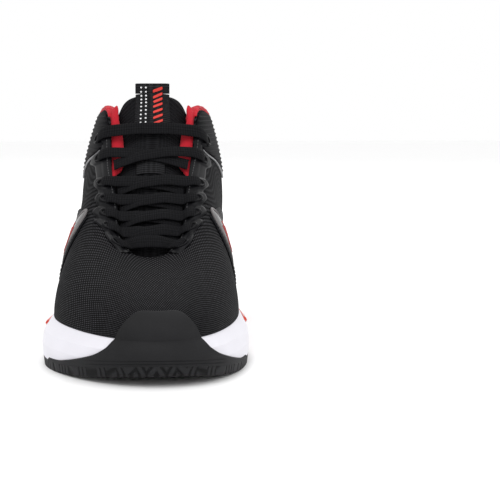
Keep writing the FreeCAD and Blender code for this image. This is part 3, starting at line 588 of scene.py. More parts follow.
def make_materials():
    gap, black, panel_black = (0.001, 0.001, 0.0013), (0.003, 0.003, 0.0035), (0.004, 0.004, 0.005)
    cloth_light = (0.022, 0.022, 0.024)
    colours = bpy.context.scene.high_top_colours
    m = MATERIALS
    m["knit"] = knit("knit_mesh_black", gap, colours.knit, colours.knit_pitch)
    m["side_knit"] = knit("side_mesh_black", gap, colours.side_knit, colours.knit_pitch)
    m["rubber"] = tread("outsole_rubber", colours.rubber)
    m["toe_rubber"] = moulded("toe_rubber_textured", colours.rubber, 0.62, 0.7, 0.8,
                              Specular_IOR_Level=0.12)
    m["shank"] = moulded("shank_grey", (0.10, 0.10, 0.11), 0.45, 0.4, 0.5)
    m["foam_white"] = moulded("midsole_white", colours.midsole, 0.45, 0.6, 0.12, 0.03)
    m["band_red"] = moulded("band_translucent_red", (0.60, 0.045, 0.022), 0.26, 2.5, 0.04, 0.12,
                            Coat_Weight=0.25, Coat_Roughness=0.12, Specular_IOR_Level=0.25)
    m["ring_red"] = moulded("ring_red", colours.rings, 0.38, 0.5, 0.1, 0.1, Specular_IOR_Level=0.3)
    m["mark_red"] = moulded("mark_red", colours.marks, 0.45, 0.5, 0.1, 0.1, Specular_IOR_Level=0.25)
    m["synthetic"] = moulded("synthetic_black", panel_black, 0.55, 0.4, 0.3,
                             Specular_IOR_Level=0.05)
    m["gloss"] = moulded("eyestay_gloss", panel_black, 0.40, 0.35, 0.1,
                         Specular_IOR_Level=0.1)
    m["panel"] = moulded("collar_panel_black", panel_black, 0.60, 0.35, 0.2,
                         Specular_IOR_Level=0.04)
    m["lining"] = brushed("lining_red", colours.lining)
    m["inner"] = brushed("lining_black", (0.02, 0.02, 0.022))
    m["board"] = brushed("board_textile", (0.7, 0.7, 0.67))
    m["liner"] = brushed("sockliner_black", (0.03, 0.03, 0.033))
    m["foam"] = brushed("foam_cream", (0.7, 0.66, 0.55))
    m["tongue"] = woven("tongue_textile", black, (0.016, 0.016, 0.018), 0.9, 0.9,
                        Specular_IOR_Level=0.06)
    m["lace"] = woven("lace_woven", (0.002, 0.002, 0.0025), (0.013, 0.013, 0.0145), 1.0, 0.8,
                      Specular_IOR_Level=0.05)
    m["webbing"] = woven("webbing_ribbed", black, cloth_light, 1.3, 0.8, Specular_IOR_Level=0.08)
    m["badge"] = moulded("badge_grey", (0.050, 0.045, 0.045), 0.2, 2.0, 0.05, 0.15,
                         Coat_Weight=0.35, Coat_Roughness=0.08, Specular_IOR_Level=0.3)
    m["badge_rim"] = moulded("badge_rim_pale", (0.12, 0.11, 0.11), 0.3, 1.0, 0.05, 0.05,
                             Specular_IOR_Level=0.2)
    m["badge_mark"] = moulded("badge_mark_red", (0.38, 0.045, 0.04), 0.4, 0.5, 0.1, 0.1,
                              Specular_IOR_Level=0.2)
    m["thread"] = moulded("thread_grey", (0.035, 0.035, 0.037), 0.7, 0.2, 0.3)
    m["piping"] = moulded("piping_silver", (0.22, 0.22, 0.23), 0.45, 0.3, 0.1)
    m["label"] = woven("label_grey", (0.42, 0.42, 0.43), (0.62, 0.62, 0.63), 0.7, 0.7, 0.7, 0.3)
    m["print_white"] = moulded("print_white", (0.75, 0.75, 0.76), 0.5, 0.4, 0.1, 0.03)
    m["band_window"] = windows("band_clear_red", (0.58, 0.036, 0.018), (0.66, 0.10, 0.06))
    m["aglet"] = moulded("aglet_black", (0.02, 0.02, 0.022), 0.2, 0.8, 0.05)


NODE_FINISHES = {
    "rubber": ("outsole_forefoot", "outsole_heel"),
    "toe_rubber": ("toe_bumper",),
    "shank": ("arch_shank", "arch_clip_lateral"),
    "foam_white": ("midsole",),
    "band_red": ("heel_band", "forefoot_stripe_lateral", "forefoot_stripe_medial"),
    "board": ("strobel_board", "toe_puff", "heel_stiffener"),
    "liner": ("sockliner",),
    "lining": ("collar_lining_lateral", "collar_lining_medial", "collar_roll"),
    "inner": ("vamp_lining",),
    "foam": ("collar_foam_lateral", "collar_foam_medial", "tongue_foam"),
    "synthetic": ("saddle_lateral", "saddle_medial", "heel_cover", "lace_keeper",
                  "heel_piping_lateral", "heel_piping_medial"),
    "panel": ("collar_wing_lateral", "collar_wing_medial", "heel_panel_lateral",
              "heel_panel_medial"),
    "gloss": ("eyestay_lateral", "eyestay_medial"),
    "ring_red": ("ankle_ring_lateral", "ankle_ring_medial"),
    "side_knit": ("ankle_ring_insert_lateral", "ankle_ring_insert_medial", "quarter_lateral",
                  "quarter_medial"),
    "knit": ("vamp_mesh",),
    "badge": ("side_badge_lateral", "side_badge_medial"),
    "mark_red": ("heel_emblem",),
    "webbing": ("heel_pull_tab", "tongue_tab_strap", "tongue_pull_loop"),
    "tongue": ("tongue_shell", "tongue_lining"),
    "label": ("tongue_label",),
    "lace": ("lace", "lace_tail_lateral", "lace_tail_medial"),
    "piping": ("collar_piping_lateral", "collar_piping_medial"),
    "aglet": ("aglet_lateral", "aglet_medial"),
}


def dress_nodes():
    """Gives each of the design's own pieces its finish."""
    for key, names in NODE_FINISHES.items():
        for name in names:
            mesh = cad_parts[name].data
            mesh.materials.clear()
            mesh.materials.append(MATERIALS[key])


# ---------------------------------------------------------------- knitted upper

def lay_flat(obj, first, last, low, high):
    """Gives a skin patch the coordinates of its flat cut piece, in millimetres."""
    mesh = obj.data
    layer = mesh.uv_layers.active
    uvs = np.empty(len(mesh.loops) * 2)
    layer.data.foreach_get("uv", uvs)
    uvs = uvs.reshape(-1, 2)
    a, w = first + (last - first) * uvs[:, 0], low + (high - low) * uvs[:, 1]
    _, _, nx, ny = outline(a)
    top = skin(a, np.ones_like(a))
    down = (1 - w) * girth_length(a)
    flat = np.stack([top[:, 0] + nx * down, top[:, 1] + ny * down], -1)
    layer.data.foreach_set("uv", flat.ravel())


def knit_panel(name, first, last, material, columns, rows, node):
    low, high = 0.004, 1.0

    def place(u, v):
        return upper(first + (last - first) * u, low + (high - low) * v, 0.0)

    obj = grid_mesh(columns, rows, place)
    lay_flat(obj, first, last, low, high)
    thicken(obj, 1.1, bevel=0.25)
    finish_piece(obj, name, material, "root", angle=45)
    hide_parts(node)


def make_knit():
    knit_panel("vamp_knit", -3.0, 3.0, MATERIALS["knit"], 150, 90, "vamp_mesh")
    for side in SIDES:
        first, last = side_span(side, 3.01, 7.99)
        knit_panel("quarter_knit_" + side, first, last, MATERIALS["side_knit"], 160, 90,
                   "quarter_" + side)


# ---------------------------------------------------------------- shared levels of the layers

FOAM_OUT = -1.9
ROLL_IN = -5.2
PANEL_IN = 0.05
PANEL_OUT = 1.15
TRIM_IN = 1.2
TRIM_OUT = 2.1
EYELET_ROWS = (0.85, 1.35, 1.80, 2.25, 2.75, 3.60, 4.22)
EYELET_SETBACK = 8.0
LACE_OUT = PANEL_OUT + 0.75


def ease(t):
    t = np.clip(t, 0, 1)
    return t * t * (3 - 2 * t)


def ridge(x, sharp=1.0):
    """Rounded ribs from 0 to 1, one for each whole step of x."""
    return (0.5 + 0.5 * np.cos(TAU * x)) ** sharp


def wrinkles(x, y, seed=0.0):
    """Soft uneven folds between -1 and 1."""
    return (np.sin(x * 0.23 + 1.7 * np.sin(y * 0.31 + seed)) * 0.5
            + np.sin(x * 0.51 - y * 0.27 + 2.1 * seed) * 0.3
            + np.sin(x * 0.93 + y * 0.71 + 0.7 * seed) * 0.2)


def girth_length(a):
    """Length of the skin from the feather line to the top edge at a."""
    a = np.asarray(a, float)
    rings = np.stack([skin(a, np.full(a.shape, k / 12)) for k in range(13)])
    return np.linalg.norm(np.diff(rings, axis=0), axis=-1).sum(0)


def away_from_edges(u, v, width_mm, height_mm, border):
    """0 at a panel's edges, rising to 1 inside its border."""
    near = np.minimum(np.minimum(u, 1 - u) * width_mm, np.minimum(v, 1 - v) * height_mm)
    return ease(near / border)


def copies(name, material, spots, scale, body, bevel=0.25, kind="cube"):
    """One small bevelled shape repeated at (point, run, side, out) spots, as one mesh."""
    deselect()
    if kind == "cube":
        bpy.ops.mesh.primitive_cube_add(size=1, location=(0, 0, 0))
    else:
        bpy.ops.mesh.primitive_cylinder_add(vertices=12, radius=0.5, depth=1, location=(0, 0, 0))
    seed = bpy.context.active_object
    bpy.ops.object.mode_set(mode="EDIT")
    bpy.ops.mesh.select_all(action="SELECT")
    bpy.ops.mesh.bevel(offset=bevel, segments=1, affect="EDGES")
    bpy.ops.object.mode_set(mode="OBJECT")
    one = np.array([v.co[:] for v in seed.data.vertices])
    faces = [tuple(p.vertices) for p in seed.data.polygons]
    points, runs, sides, outs = (np.asarray(part, float) for part in spots)
    moved, every = [], []
    for k in range(len(points)):
        moved.append(points[k] + one[:, :1] * scale[0] * runs[k]
                     + one[:, 1:2] * scale[1] * sides[k] + one[:, 2:3] * scale[2] * outs[k])
        every += [tuple(i + k * len(one) for i in face) for face in faces]
    mesh = bpy.data.meshes.new(name)
    mesh.from_pydata((np.concatenate(moved) * MM).tolist(), [], every)
    mesh.update()
    spare = seed.data
    seed.data = mesh
    bpy.data.meshes.remove(spare)
    edit_clean(seed, FINE_MERGE)
    return finish_piece(seed, name, material, body, angle=60)


def stitch_row(name, points, normals, pitch=None, length=None, width=0.5):
    """Sewn stitches along a line of points on the shoe; sizes in millimetres."""
    trim = bpy.context.scene.high_top_trim
    pitch, length = pitch or trim.stitch_pitch, length or trim.stitch_length
    steps = np.r_[0, np.cumsum(np.linalg.norm(np.diff(points, axis=0), axis=1))]
    count = max(2, int(steps[-1] / pitch))
    at = (np.arange(count) + 0.5) * steps[-1] / count

    def read(data, where):
        return np.stack([np.interp(where, steps, data[:, k]) for k in range(3)], -1)

    spot, out = read(points, at), unit(read(normals, at))
    run = unit(read(points, at + 0.3) - read(points, at - 0.3))
    side = unit(np.cross(out, run))
    return copies(name, MATERIALS["thread"], (spot + out * 0.12, run, side, out),
                  (length, width, width * 0.8), "root")


def join_pieces(pieces):
    """Joins pieces into the first of them."""
    deselect()
    for piece in pieces:
        piece.select_set(True)
    bpy.context.view_layer.objects.active = pieces[0]
    bpy.ops.object.join()
    return pieces[0]


def band_mesh(stops, width, thickness, samples=60, power=4.0, around=28, dish=0.0):
    """Mesh of a flat band through stops of (point, across, outward), with closed ends."""
    data = np.array([np.r_[p, unit(np.array(s, float)), unit(np.array(o, float))]
                     for p, s, o in stops])
    steps = np.r_[0, np.cumsum(np.linalg.norm(np.diff(data[:, :3], axis=0), axis=1))]
    length = steps[-1]

    def place(u, v):
        at = u * length
        got = np.stack([through(list(zip(steps, data[:, k])), at) for k in range(9)], -1)
        across, rise = section(v, width, thickness, power)
        out = unit(got[:, 6:9])
        side = unit(got[:, 3:6] - (got[:, 3:6] * out).sum(1)[:, None] * out)
        lift = rise + thickness / 2 - dish * (across / width * 2) ** 2
        return got[:, :3] + side * across[:, None] + out * lift[:, None]

    obj = grid_mesh(samples, around, place, (length, 2 * width))
    return close_up(obj)


# ---------------------------------------------------------------- laces

LACE_THICKNESS = 1.35


def eyelet_stop(side, t, inset, out):
    """Point, direction along the edge and outward direction beside the throat."""
    a, w = beside_throat(side, t, inset)
    _, _, normal = skin_frame(a, w)
    edge_along, _, _ = skin_frame(side_place(side, np.asarray(float(t))), np.asarray(1.0))
    if side == "lateral":
        edge_along = -edge_along
    return upper(a, w, out), edge_along, normal


def lace_run(from_side, t_from, from_hole, to_side, t_to, to_hole, lift):
    """Stops of one lace from side to side; an end dives into its eyelet or under the edge."""
    def end(side, t, hole):
        if hole:
            dive = eyelet_stop(side, t, EYELET_SETBACK + 0.6, PANEL_OUT - 0.9)
            return [dive] + [eyelet_stop(side, t, inset, LACE_OUT + up)
                             for inset, up in ((EYELET_SETBACK - 2.2, -0.1), (3.2, 0.15), (0.2, 0.1))]
        return [eyelet_stop(side, t, -1.2, 0.2)]

    start, finish = end(from_side, t_from, from_hole), end(to_side, t_to, to_hole)[::-1]
    first, last = start[-1][0], finish[0][0]
    middle = []
    for share in (0.3, 0.5, 0.7):
        t = t_from + (t_to - t_from) * share
        normal = tongue_normal(t)
        swell = 1.9 * (1 - (2 * share - 1) ** 2) + lift
        along = unit(tongue_line(t + 0.1) - tongue_line(t - 0.1))
        middle.append((first + (last - first) * share + normal * swell, along, normal))
    return start + middle + finish


def make_laces():
    rows = EYELET_ROWS
    runs = [lace_run("medial", rows[0], True, "lateral", rows[0], True, 0.9)]
    for below, row in zip(rows[:-2], rows[1:-1]):
        under = below + 0.62 * (row - below)
        runs.append(lace_run("medial", under, False, "lateral", row, True, 0.6))
        runs.append(lace_run("lateral", under, False, "medial", row, True, 2.0))
    runs.append(lace_run("medial", rows[-1], True, "lateral", rows[-1], True, 0.9))
    width = bpy.context.scene.high_top_laces.width
    pieces = [band_mesh(run, width, LACE_THICKNESS, samples=70, power=3.0, around=28, dish=0.25)
              for run in runs]
    laces = join_pieces(pieces)
    finish_piece(laces, "laces", MATERIALS["lace"], "root", angle=50)
    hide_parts("lace")


# ---------------------------------------------------------------- eyestays

EYESTAY_SPAN = (0.55, 4.1)


def near_eyelet(t):
    """Distance along the throat to the nearest eyelet that the eyestay carries."""
    return np.abs(np.asarray(t)[..., None] - np.array(EYELET_ROWS[:6])).min(-1)


def finger_reach(t):
    """Width of the eyestay at t: a rounded finger at every lace row."""
    return 12.2 + 3.6 * ease(1 - near_eyelet(t) / 0.27)


def make_eyestay(side):
    def place(u, v):
        t = EYESTAY_SPAN[0] + (EYESTAY_SPAN[1] - EYESTAY_SPAN[0]) * facing(side, u)
        reach = finger_reach(t)
        inset = reach * (1 - v) + 0.2
        groove = ease((near_eyelet(t) - 0.13) / 0.08) * ease((inset - 4.5) / 2.5)
        rim = 1 - ease(np.minimum(inset, reach - inset) / 1.3)
        return throat(side, t, inset, PANEL_OUT - 0.55 * groove - 0.45 * rim)

    skin_panel("eyestay_cage_" + side, MATERIALS["gloss"], 260, 36, place, 1.0, (150, 15),
               nodes=("eyestay_" + side,))


def eyelet_rim(side, t):
    """Raised round rim of one lace hole."""
    level = PANEL_OUT if t < EYESTAY_SPAN[1] else PANEL_OUT + 0.4
    a, w = beside_throat(side, t, EYELET_SETBACK)
    along, _, normal = skin_frame(a, w)
    centre, first = upper(a, w, level), unit(along)
    second = np.cross(normal, first)

    def ring(u, v):
        turn, (across, rise) = TAU * u, section(v, 1.5, 1.1, 2.0)
        radius = (2.9 + across)[:, None]
        return (centre + radius * (np.cos(turn)[:, None] * first + np.sin(turn)[:, None] * second)
                + normal * (rise[:, None] + 0.15))

    return close_up(grid_mesh(28, 12, ring, (18, 4)))


def make_eyestays():
    for side in SIDES:
        make_eyestay(side)
        eyelets = join_pieces([eyelet_rim(side, t) for t in EYELET_ROWS])
        finish_piece(eyelets, "eyelets_" + side, MATERIALS["gloss"], "root",
                     angle=60)
        t = np.linspace(EYESTAY_SPAN[0] + 0.05, EYESTAY_SPAN[1] - 0.05, 160)
        a, w = beside_throat(side, t, 2.2)
        stitch_row("eyestay_stitches_" + side, upper(a, w, PANEL_OUT), skin_frame(a, w)[2])


# ---------------------------------------------------------------- tongue

def tongue_back(t):
    """Level of the tongue's back face at t."""
    return -0.9 - through(((0.0, 1.0), (2.0, 5.0)), t) - 0.8


def tongue_length(t):
    """Length of the tongue from its root to t, in millimetres."""
    knots = np.linspace(0, TONGUE_TOP, 60)
    steps = np.r_[0, np.cumsum(np.linalg.norm(np.diff(tongue_line(knots), axis=0), axis=1))]
    return np.interp(t, knots, steps)


def make_tongue_body():
    total = tongue_length(TONGUE_TOP)

    def place(u, v):
        angle = TAU * v
        c, s = np.cos(angle), np.sin(angle)
        across = np.sign(c) * np.abs(c) ** (2 / 3.6)
        depth = np.sign(s) * np.abs(s) ** (2 / 2.6)
        reach = TONGUE_TOP - 0.75 * np.abs(across) ** 3.5
        t = reach * u
        back = tongue_back(t)
        rounded = np.sqrt(np.clip(1 - (np.clip(u - 0.955, 0, None) / 0.0455) ** 2, 0.0004, 1))
        middle, half = back / 2, -back / 2
        x, along = across * TONGUE_HALF, tongue_length(t)
        inside = ease((1 - np.abs(across)) / 0.10) * ease((s - 0.1) / 0.3) * rounded
        ribs = 0.55 * (ridge((np.abs(x) * 0.62 + along) / 2.7, 1.4) - 0.5) * inside
        quilting = 0.25 * wrinkles(x, along, 2.0) * (s < 0)
        return tongue(across, t, middle + half * depth * rounded + ribs - 0.1 + quilting)

    obj = close_up(grid_mesh(300, 150, place, (total, 100)))
    finish_piece(obj, "tongue_body", MATERIALS["tongue"], "tongue", angle=70)
    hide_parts("tongue_shell", "tongue_foam", "tongue_lining")


TAB_START = 4.35


def make_tongue_tab():
    def strap(u, v):
        across, rise = section(v, 21.0, 0.95, 5.0)
        t = TAB_START + (TONGUE_TOP - 0.03 - TAB_START) * u
        weave = 0.10 * ridge(tongue_length(t) / 1.1) * (rise > 0)
        return tongue(across / TONGUE_HALF, t, 0.65 + rise + weave)

    tab = close_up(grid_mesh(110, 40, strap, (32, 42)))
    finish_piece(tab, "tongue_tab", MATERIALS["webbing"], "tongue", angle=60)
    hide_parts("tongue_tab_strap")
    make_tab_marks()


def make_lace_loop():
    def keeper(u, v):
        across, rise = section(v, 15.5, 0.9, 4.0)
        t = 2.98 + 0.36 * u
        return tongue(across / TONGUE_HALF, t, 0.75 + rise + 0.5 * np.sin(np.pi * u))

    loop = close_up(grid_mesh(24, 32, keeper, (9, 30)))
    finish_piece(loop, "lace_loop", MATERIALS["webbing"], "tongue", angle=60)
    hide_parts("lace_keeper")


LABEL_ROWS = ((5.15, 0.9), (5.0, 0.55), (4.86, 0.75), (4.72, 0.4), (4.56, 0.85), (4.44, 0.6))


def make_label():
    back = tongue_back(5.0) - 0.05

    def label(u, v):
        t = 4.3 + 1.05 * v
        return tongue(0.62 * (1 - 2 * u), t, back - 0.45)

    skin_panel("tongue_label_cloth", MATERIALS["label"], 30, 30, label, 0.35, (26, 24),
               body="tongue", bevel=0.1, nodes=("tongue_label",))
    bars = []
    for row, (t, width) in enumerate(LABEL_ROWS):
        def bar(u, v, t=t, width=width, row=row):
            across = 0.56 * (0.5 - u) * 2 * width - 0.56 * (1 - width) * (row % 2)
            return tongue(across, t + 0.045 * v, back - 0.55)

        bars.append(grid_mesh(12, 2, bar))
    printed = join_pieces(bars)
    thicken(printed, 0.1)
    finish_piece(printed, "label_print", MATERIALS["synthetic"], "tongue", angle=40)


DOT_COLUMNS = (-6.9, -4.0)
DASH_COLUMN = 3.2
DOT_SIZE = (1.1, 1.1, 0.3)


def tab_spots(columns, times, out):
    points, runs, sides, outs = [], [], [], []
    for t in times:
        normal = tongue_normal(t)
        run = unit(tongue_line(t + 0.02) - tongue_line(t - 0.02))
        for x in columns:
            points.append(tongue(x / TONGUE_HALF, t, out))
            runs.append(run)
            sides.append(np.array([1.0, 0, 0]))
            outs.append(normal)
    return points, runs, sides, outs


def times_at_heights(count):
    """Places evenly spaced in height on the tab's lower part."""
    t = np.linspace(4.5, 5.84, 80)
    height = tongue_line(t)[:, 2]
    return np.interp(np.linspace(height[0], height[-1], count), height, t)


def make_tab_marks():
    """Two columns of pale dots and a column of slanted dashes down the tongue's tab."""
    copies("tab_dots", MATERIALS["print_white"], tab_spots(DOT_COLUMNS, times_at_heights(8), 1.22),
           DOT_SIZE, "tongue", 0.08, "cylinder")
    points, runs, sides, outs = tab_spots((DASH_COLUMN,), times_at_heights(6), 1.24)
    slant = [unit(side + 0.45 * run) for side, run in zip(sides, runs)]
    copies("tab_dashes", MATERIALS["mark_red"], (points, runs, slant, outs),
           (1.7, 6.2, 0.36), "tongue", 0.12)


LOOP_WALL = 1.2
LOOP_ROOT = 0.6


def make_tongue():
    make_tongue_body()
    make_tongue_tab()
    make_lace_loop()
    make_label()


def make_pull_loop():
    low, high = (np.array(corner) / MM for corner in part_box("tongue_pull_loop"))
    centre = (low + high) / 2
    half = (high[1] - low[1]) / 2 - LOOP_WALL / 2
    top = high[2] - LOOP_WALL / 2 - half
    across = np.array([1.0, 0, 0])

    def leg(facing_back, share):
        height = low[2] - LOOP_ROOT + share * (top - low[2] + LOOP_ROOT)
        out = np.array([0, facing_back, 0])
        return np.array([centre[0], centre[1], height]) + out * half, across, out

    stops = [leg(-1.0, k / 3) for k in range(3)]
    for k in range(9):
        turn = math.pi * k / 8
        ray = np.array([0, -math.cos(turn), math.sin(turn)])
        stops.append((np.array([centre[0], centre[1], top]) + ray * half, across, ray))
    stops += [leg(1.0, k / 3) for k in (2, 1, 0)]
    stops = [(p - o * LOOP_WALL / 2, s, o) for p, s, o in stops]
    loop = band_mesh(stops, high[0] - low[0] - 0.2, 1.15, samples=90, power=6.0, around=40)
    finish_piece(loop, "pull_loop_webbing", MATERIALS["webbing"], "pull_loop",
                 angle=60)
    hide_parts("tongue_pull_loop")
    dots = [np.array([centre[0] + x, low[1] - 0.05, z]) for z in (low[2] + 0.6, low[2] + 3.2)
            for x in DOT_COLUMNS]
    up, front = np.array([0, 0, 1.0]), np.array([0, -1.0, 0])
    copies("loop_dots", MATERIALS["print_white"],
           (dots, [up] * 4, [across] * 4, [front] * 4), DOT_SIZE, "pull_loop",
           0.08, "cylinder")
    slant = unit(across + 0.35 * up)
    copies("loop_dash", MATERIALS["mark_red"],
           ([np.array([centre[0] + DASH_COLUMN, low[1] - 0.05, low[2] + 1.9])], [up], [slant], [front]),
           (1.9, 6.2, 0.36), "pull_loop", 0.12)


# ---------------------------------------------------------------- collar

def make_collar_padding():
    first, last = 4.75, COUNT - 4.75

    def roll(u, v):
        a = first + (last - first) * u
        length = girth_length(a)
        angle = TAU * v
        c, s = np.cos(angle), np.sin(angle)
        taper = np.minimum(1, np.minimum(0.35 + 9 * u, 0.35 + 9 * (1 - u)))
        run = u * 330
        pinch = 1 + 0.05 * wrinkles(run * 2.2, 6 * angle, 1.0)
        rise = -0.9 + (4.6 * taper) * (0.5 + 0.5 * np.sign(s) * np.abs(s) ** 0.8) * pinch
        ahead = ease((5.9 - np.minimum(a, COUNT - a)) / 0.9)
        inner = ROLL_IN - 2.2 * ahead
        middle, half = (inner + 0.3) / 2, (0.3 - inner) / 2
        out = middle + half * np.sign(c) * np.abs(c) ** 0.8 * pinch
        return upper(a, 1 + rise / length, out)

    obj = close_up(grid_mesh(420, 36, roll, (330, 20)))
    finish_piece(obj, "collar_padding", MATERIALS["lining"], "root", angle=80)
    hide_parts("collar_roll")


def make_collar_lining(side):
    far, near = side_span(side, 3.01, 7.995)

    def lining(u, v):
        a, w = near + (far - near) * u, 0.006 + 0.985 * v
        place = np.minimum(a, COUNT - a)
        pad = 0.6 + 2.0 * ease((place - 3.5) / 0.8) * ease((w - 0.07) / 0.22)
        folds = wrinkles(place * 46, w * 90, 0.5) * ease((w - 0.35) / 0.3)
        return upper(a, w, FOAM_OUT - pad - 0.7 + 0.35 * folds - 0.35)

    sheet = skin_panel("collar_lining_cloth_" + side, MATERIALS["lining"], 150, 80, lining, 0.6,
                       (230, 90),
                       nodes=("collar_lining_" + side, "collar_foam_" + side))


def make_throat_binding(side):
    def edge(u, v):
        across, rise = section(v, 1.0, 2.8, 2.4)
        t = 3.0 + 1.9 * u
        reach = 8.2 * ease((u + 0.05) / 0.25) * (1 - 0.15 * u)
        inset = 3.0 + (across - 0.5) * (3.0 + reach)
        return throat(side, t, inset, -2.9 + rise)

    strip = close_up(grid_mesh(70, 28, edge, (60, 20)))
    finish_piece(strip, "throat_binding_" + side, MATERIALS["lining"], "root",
                 angle=80)


def make_collar():
    make_collar_padding()
    for side in SIDES:
        make_collar_lining(side)
        make_throat_binding(side)


WING_FRONT, WING_RUN = 4.22, 1.6


def wing_low(u):
    """Lower edge of the wing, u from its front to its back."""
    return 0.93 - 0.36 * u ** 0.6


def make_wing(side):
    def place(u, v):
        u = facing(side, u)
        a = side_place(side, WING_FRONT + WING_RUN * u)
        w = wing_low(u) + (0.985 - wing_low(u)) * v
        height = skin(a, w)[:, 2]
        ribs = ridge(height / 2.6, 1.3)
        return upper(a, w, PANEL_OUT - 0.25 + 0.6 * ribs * away_from_edges(u, v, 75, 26, 1.6))

    skin_panel("wing_ribbed_" + side, MATERIALS["panel"], 150, 100, place, 1.0, (75, 30),
               nodes=("collar_wing_" + side,))


def make_wing_piping(side):
    stops = []
    for k in range(17):
        u = 0.03 + 0.95 * k / 16
        a, w = side_place(side, WING_FRONT + WING_RUN * u), wing_low(u) - 0.02
        _, up, normal = skin_frame(a, w)
        stops.append((upper(a, w, PANEL_IN - 0.1), up, normal))
    piping = band_mesh(stops, 0.8, 1.2, samples=90, power=2.0, around=14)
    finish_piece(piping, "wing_piping_" + side, MATERIALS["piping"], "root",
                 angle=80)
    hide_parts("collar_piping_" + side)


def make_wings():
    for side in SIDES:
        make_wing(side)
        make_wing_piping(side)


# ---------------------------------------------------------------- rings and badges

ANKLE_PLACE = (6.7, 0.59)
BADGE_PLACE = (3.2, 0.47)


def spot_on_skin(side, a0, w0, x, y):
    """Skin place x and y millimetres along and up from a centre, seen from outside."""
    a_mid = side_place(side, a0)
    along, up, normal = skin_frame(np.asarray(float(a_mid)), np.asarray(float(w0)))
    level = unit(np.array([normal[0], normal[1], 0.0]))
    high = np.array([0, 0, 1.0])
    right = np.cross(high, level)
    table = np.linalg.inv(np.array([[along @ right, up @ right], [along @ high, up @ high]]))
    return a_mid + table[0, 0] * x + table[0, 1] * y, w0 + table[1, 0] * x + table[1, 1] * y


def oval_ring(name, material, side, a0, w0, half_w, half_h, width, thick, level, slot, node=()):
    def place(u, v):
        across, rise = section(v, width, thick, 2.4)
        turn = TAU * u
        x = (half_w - width / 2 + across) * np.cos(turn)
        y = (half_h - width / 2 + across) * np.sin(turn)
        a, w = spot_on_skin(side, a0, w0, x, y)
        return upper(a, w, level + thick / 2 + rise)

    ring = close_up(grid_mesh(110, 20, place, (100, 8)))
    finish_piece(ring, name, material, "root", angle=80)
    if node:
        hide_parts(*node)
    return ring


def oval_plate(name, material, side, a0, w0, half_w, half_h, level, dome, slot, node=()):
    def place(u, v):
        r = np.clip(v, 0.0, 1)
        turn = TAU * u if side == "medial" else -TAU * u
        a, w = spot_on_skin(side, a0, w0, half_w * r * np.cos(turn), half_h * r * np.sin(turn))
        return upper(a, w, level + dome * (1 - r ** 3))

    plate = grid_mesh(90, 26, place, (90, 15))
    edit_clean(plate, SEAM_MERGE)
    thicken(plate, 0.4, offset=1)
    edit_clean(plate, FINE_MERGE)
    finish_piece(plate, name, material, "root", angle=60)
    if node:
        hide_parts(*node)
    return plate


def make_rings():
    width = bpy.context.scene.high_top_trim.ring_width
    for side in SIDES:
        oval_ring("ankle_hoop_" + side, MATERIALS["ring_red"], side, *ANKLE_PLACE, 13.5, 18, width, 2.3,
                  PANEL_IN - 0.1, "ring_red", ("ankle_ring_" + side,))
        # painted highlight: a thin ring of the paler, glossy clear red laid just inside the ankle hoop
        oval_ring("ankle_hoop_painted_highlight_" + side, MATERIALS["band_red"], side, *ANKLE_PLACE, 10.4, 14.9,
                  1.5, 1.6, PANEL_IN, "ring_red")
        oval_plate("ankle_mesh_" + side, MATERIALS["knit"], side, *ANKLE_PLACE, 9.6, 14.1, PANEL_IN,
                   0.9, "knit_black", ("ankle_ring_insert_" + side,))
        oval_ring("ankle_surround_" + side, MATERIALS["synthetic"], side, *ANKLE_PLACE, 16.6, 21.2,
                  2.8, 0.9, PANEL_IN - 0.1, "synthetic_black")
        turn = np.linspace(0, TAU, 140)
        a, w = spot_on_skin(side, *ANKLE_PLACE, 15.2 * np.cos(turn), 19.8 * np.sin(turn))
        _, _, normal = skin_frame(a, w)
        stitch_row("ankle_stitches_" + side, upper(a, w, PANEL_IN + 0.75), normal, 2.0, 1.3, 0.45)


def badge_stroke(side, x, length):
    """One slanted stroke across a badge, x millimetres from its middle."""
    mirror = 1 if side == "medial" else -1

    def place(u, v):
        y = length * (v - 0.5)
        wide = 1.9 * (1 - 0.5 * np.abs(2 * v - 1) ** 2)
        beside = mirror * (x + y * 0.30) + wide * (facing(side, u) - 0.5) * mirror
        a, w = spot_on_skin(side, *BADGE_PLACE, beside, y)
        return upper(a, w, TRIM_IN + 1.55)

    return grid_mesh(5, 20, place)


def make_badges():
    for side in SIDES:
        oval_plate("badge_lens_" + side, MATERIALS["badge"], side, *BADGE_PLACE, 10.0, 16.0,
                   TRIM_IN, 0.9, "badge_grey", ("side_badge_" + side,))
        oval_ring("badge_rim_" + side, MATERIALS["badge_rim"], side, *BADGE_PLACE, 11.0, 17.0,
                  1.5, 1.2, TRIM_IN - 0.2, "badge_grey")
        mark = join_pieces([badge_stroke(side, x, length)
                            for x, length in ((-4.2, 13.0), (0.4, 17.0), (4.6, 11.0))])
        edit_clean(mark, FINE_MERGE, outward=False)
        thicken(mark, 0.6)
        finish_piece(mark, "badge_strokes_" + side, MATERIALS["badge_mark"], "root",
                     angle=40)


SADDLE_MM = (80, 45)
SADDLE_BACK = 5.1


def saddle_place(side, u, v, out):
    """Midfoot overlay, from its curved front edge beside the ball back to the waist."""
    front = 2.70 + 0.50 * (1 - v) ** 2
    a = side_place(side, front + (SADDLE_BACK - front) * u)
    w = 0.015 + (0.72 - 0.42 * u ** 1.2) * v
    return upper(a, w, out), skin_frame(a, w)[2]


def make_saddle(side):
    def place(u, v):
        u = facing(side, u)
        rim = 1 - away_from_edges(u, v, *SADDLE_MM, 1.4)
        step = ease((v - 0.86) / 0.02) * ease((0.985 - v) / 0.02)
        return saddle_place(side, u, v, PANEL_OUT - 0.5 * rim + 0.2 * step)[0]

    skin_panel("saddle_overlay_" + side, MATERIALS["synthetic"], 150, 90, place, 0.95,
               SADDLE_MM, nodes=("saddle_" + side,))


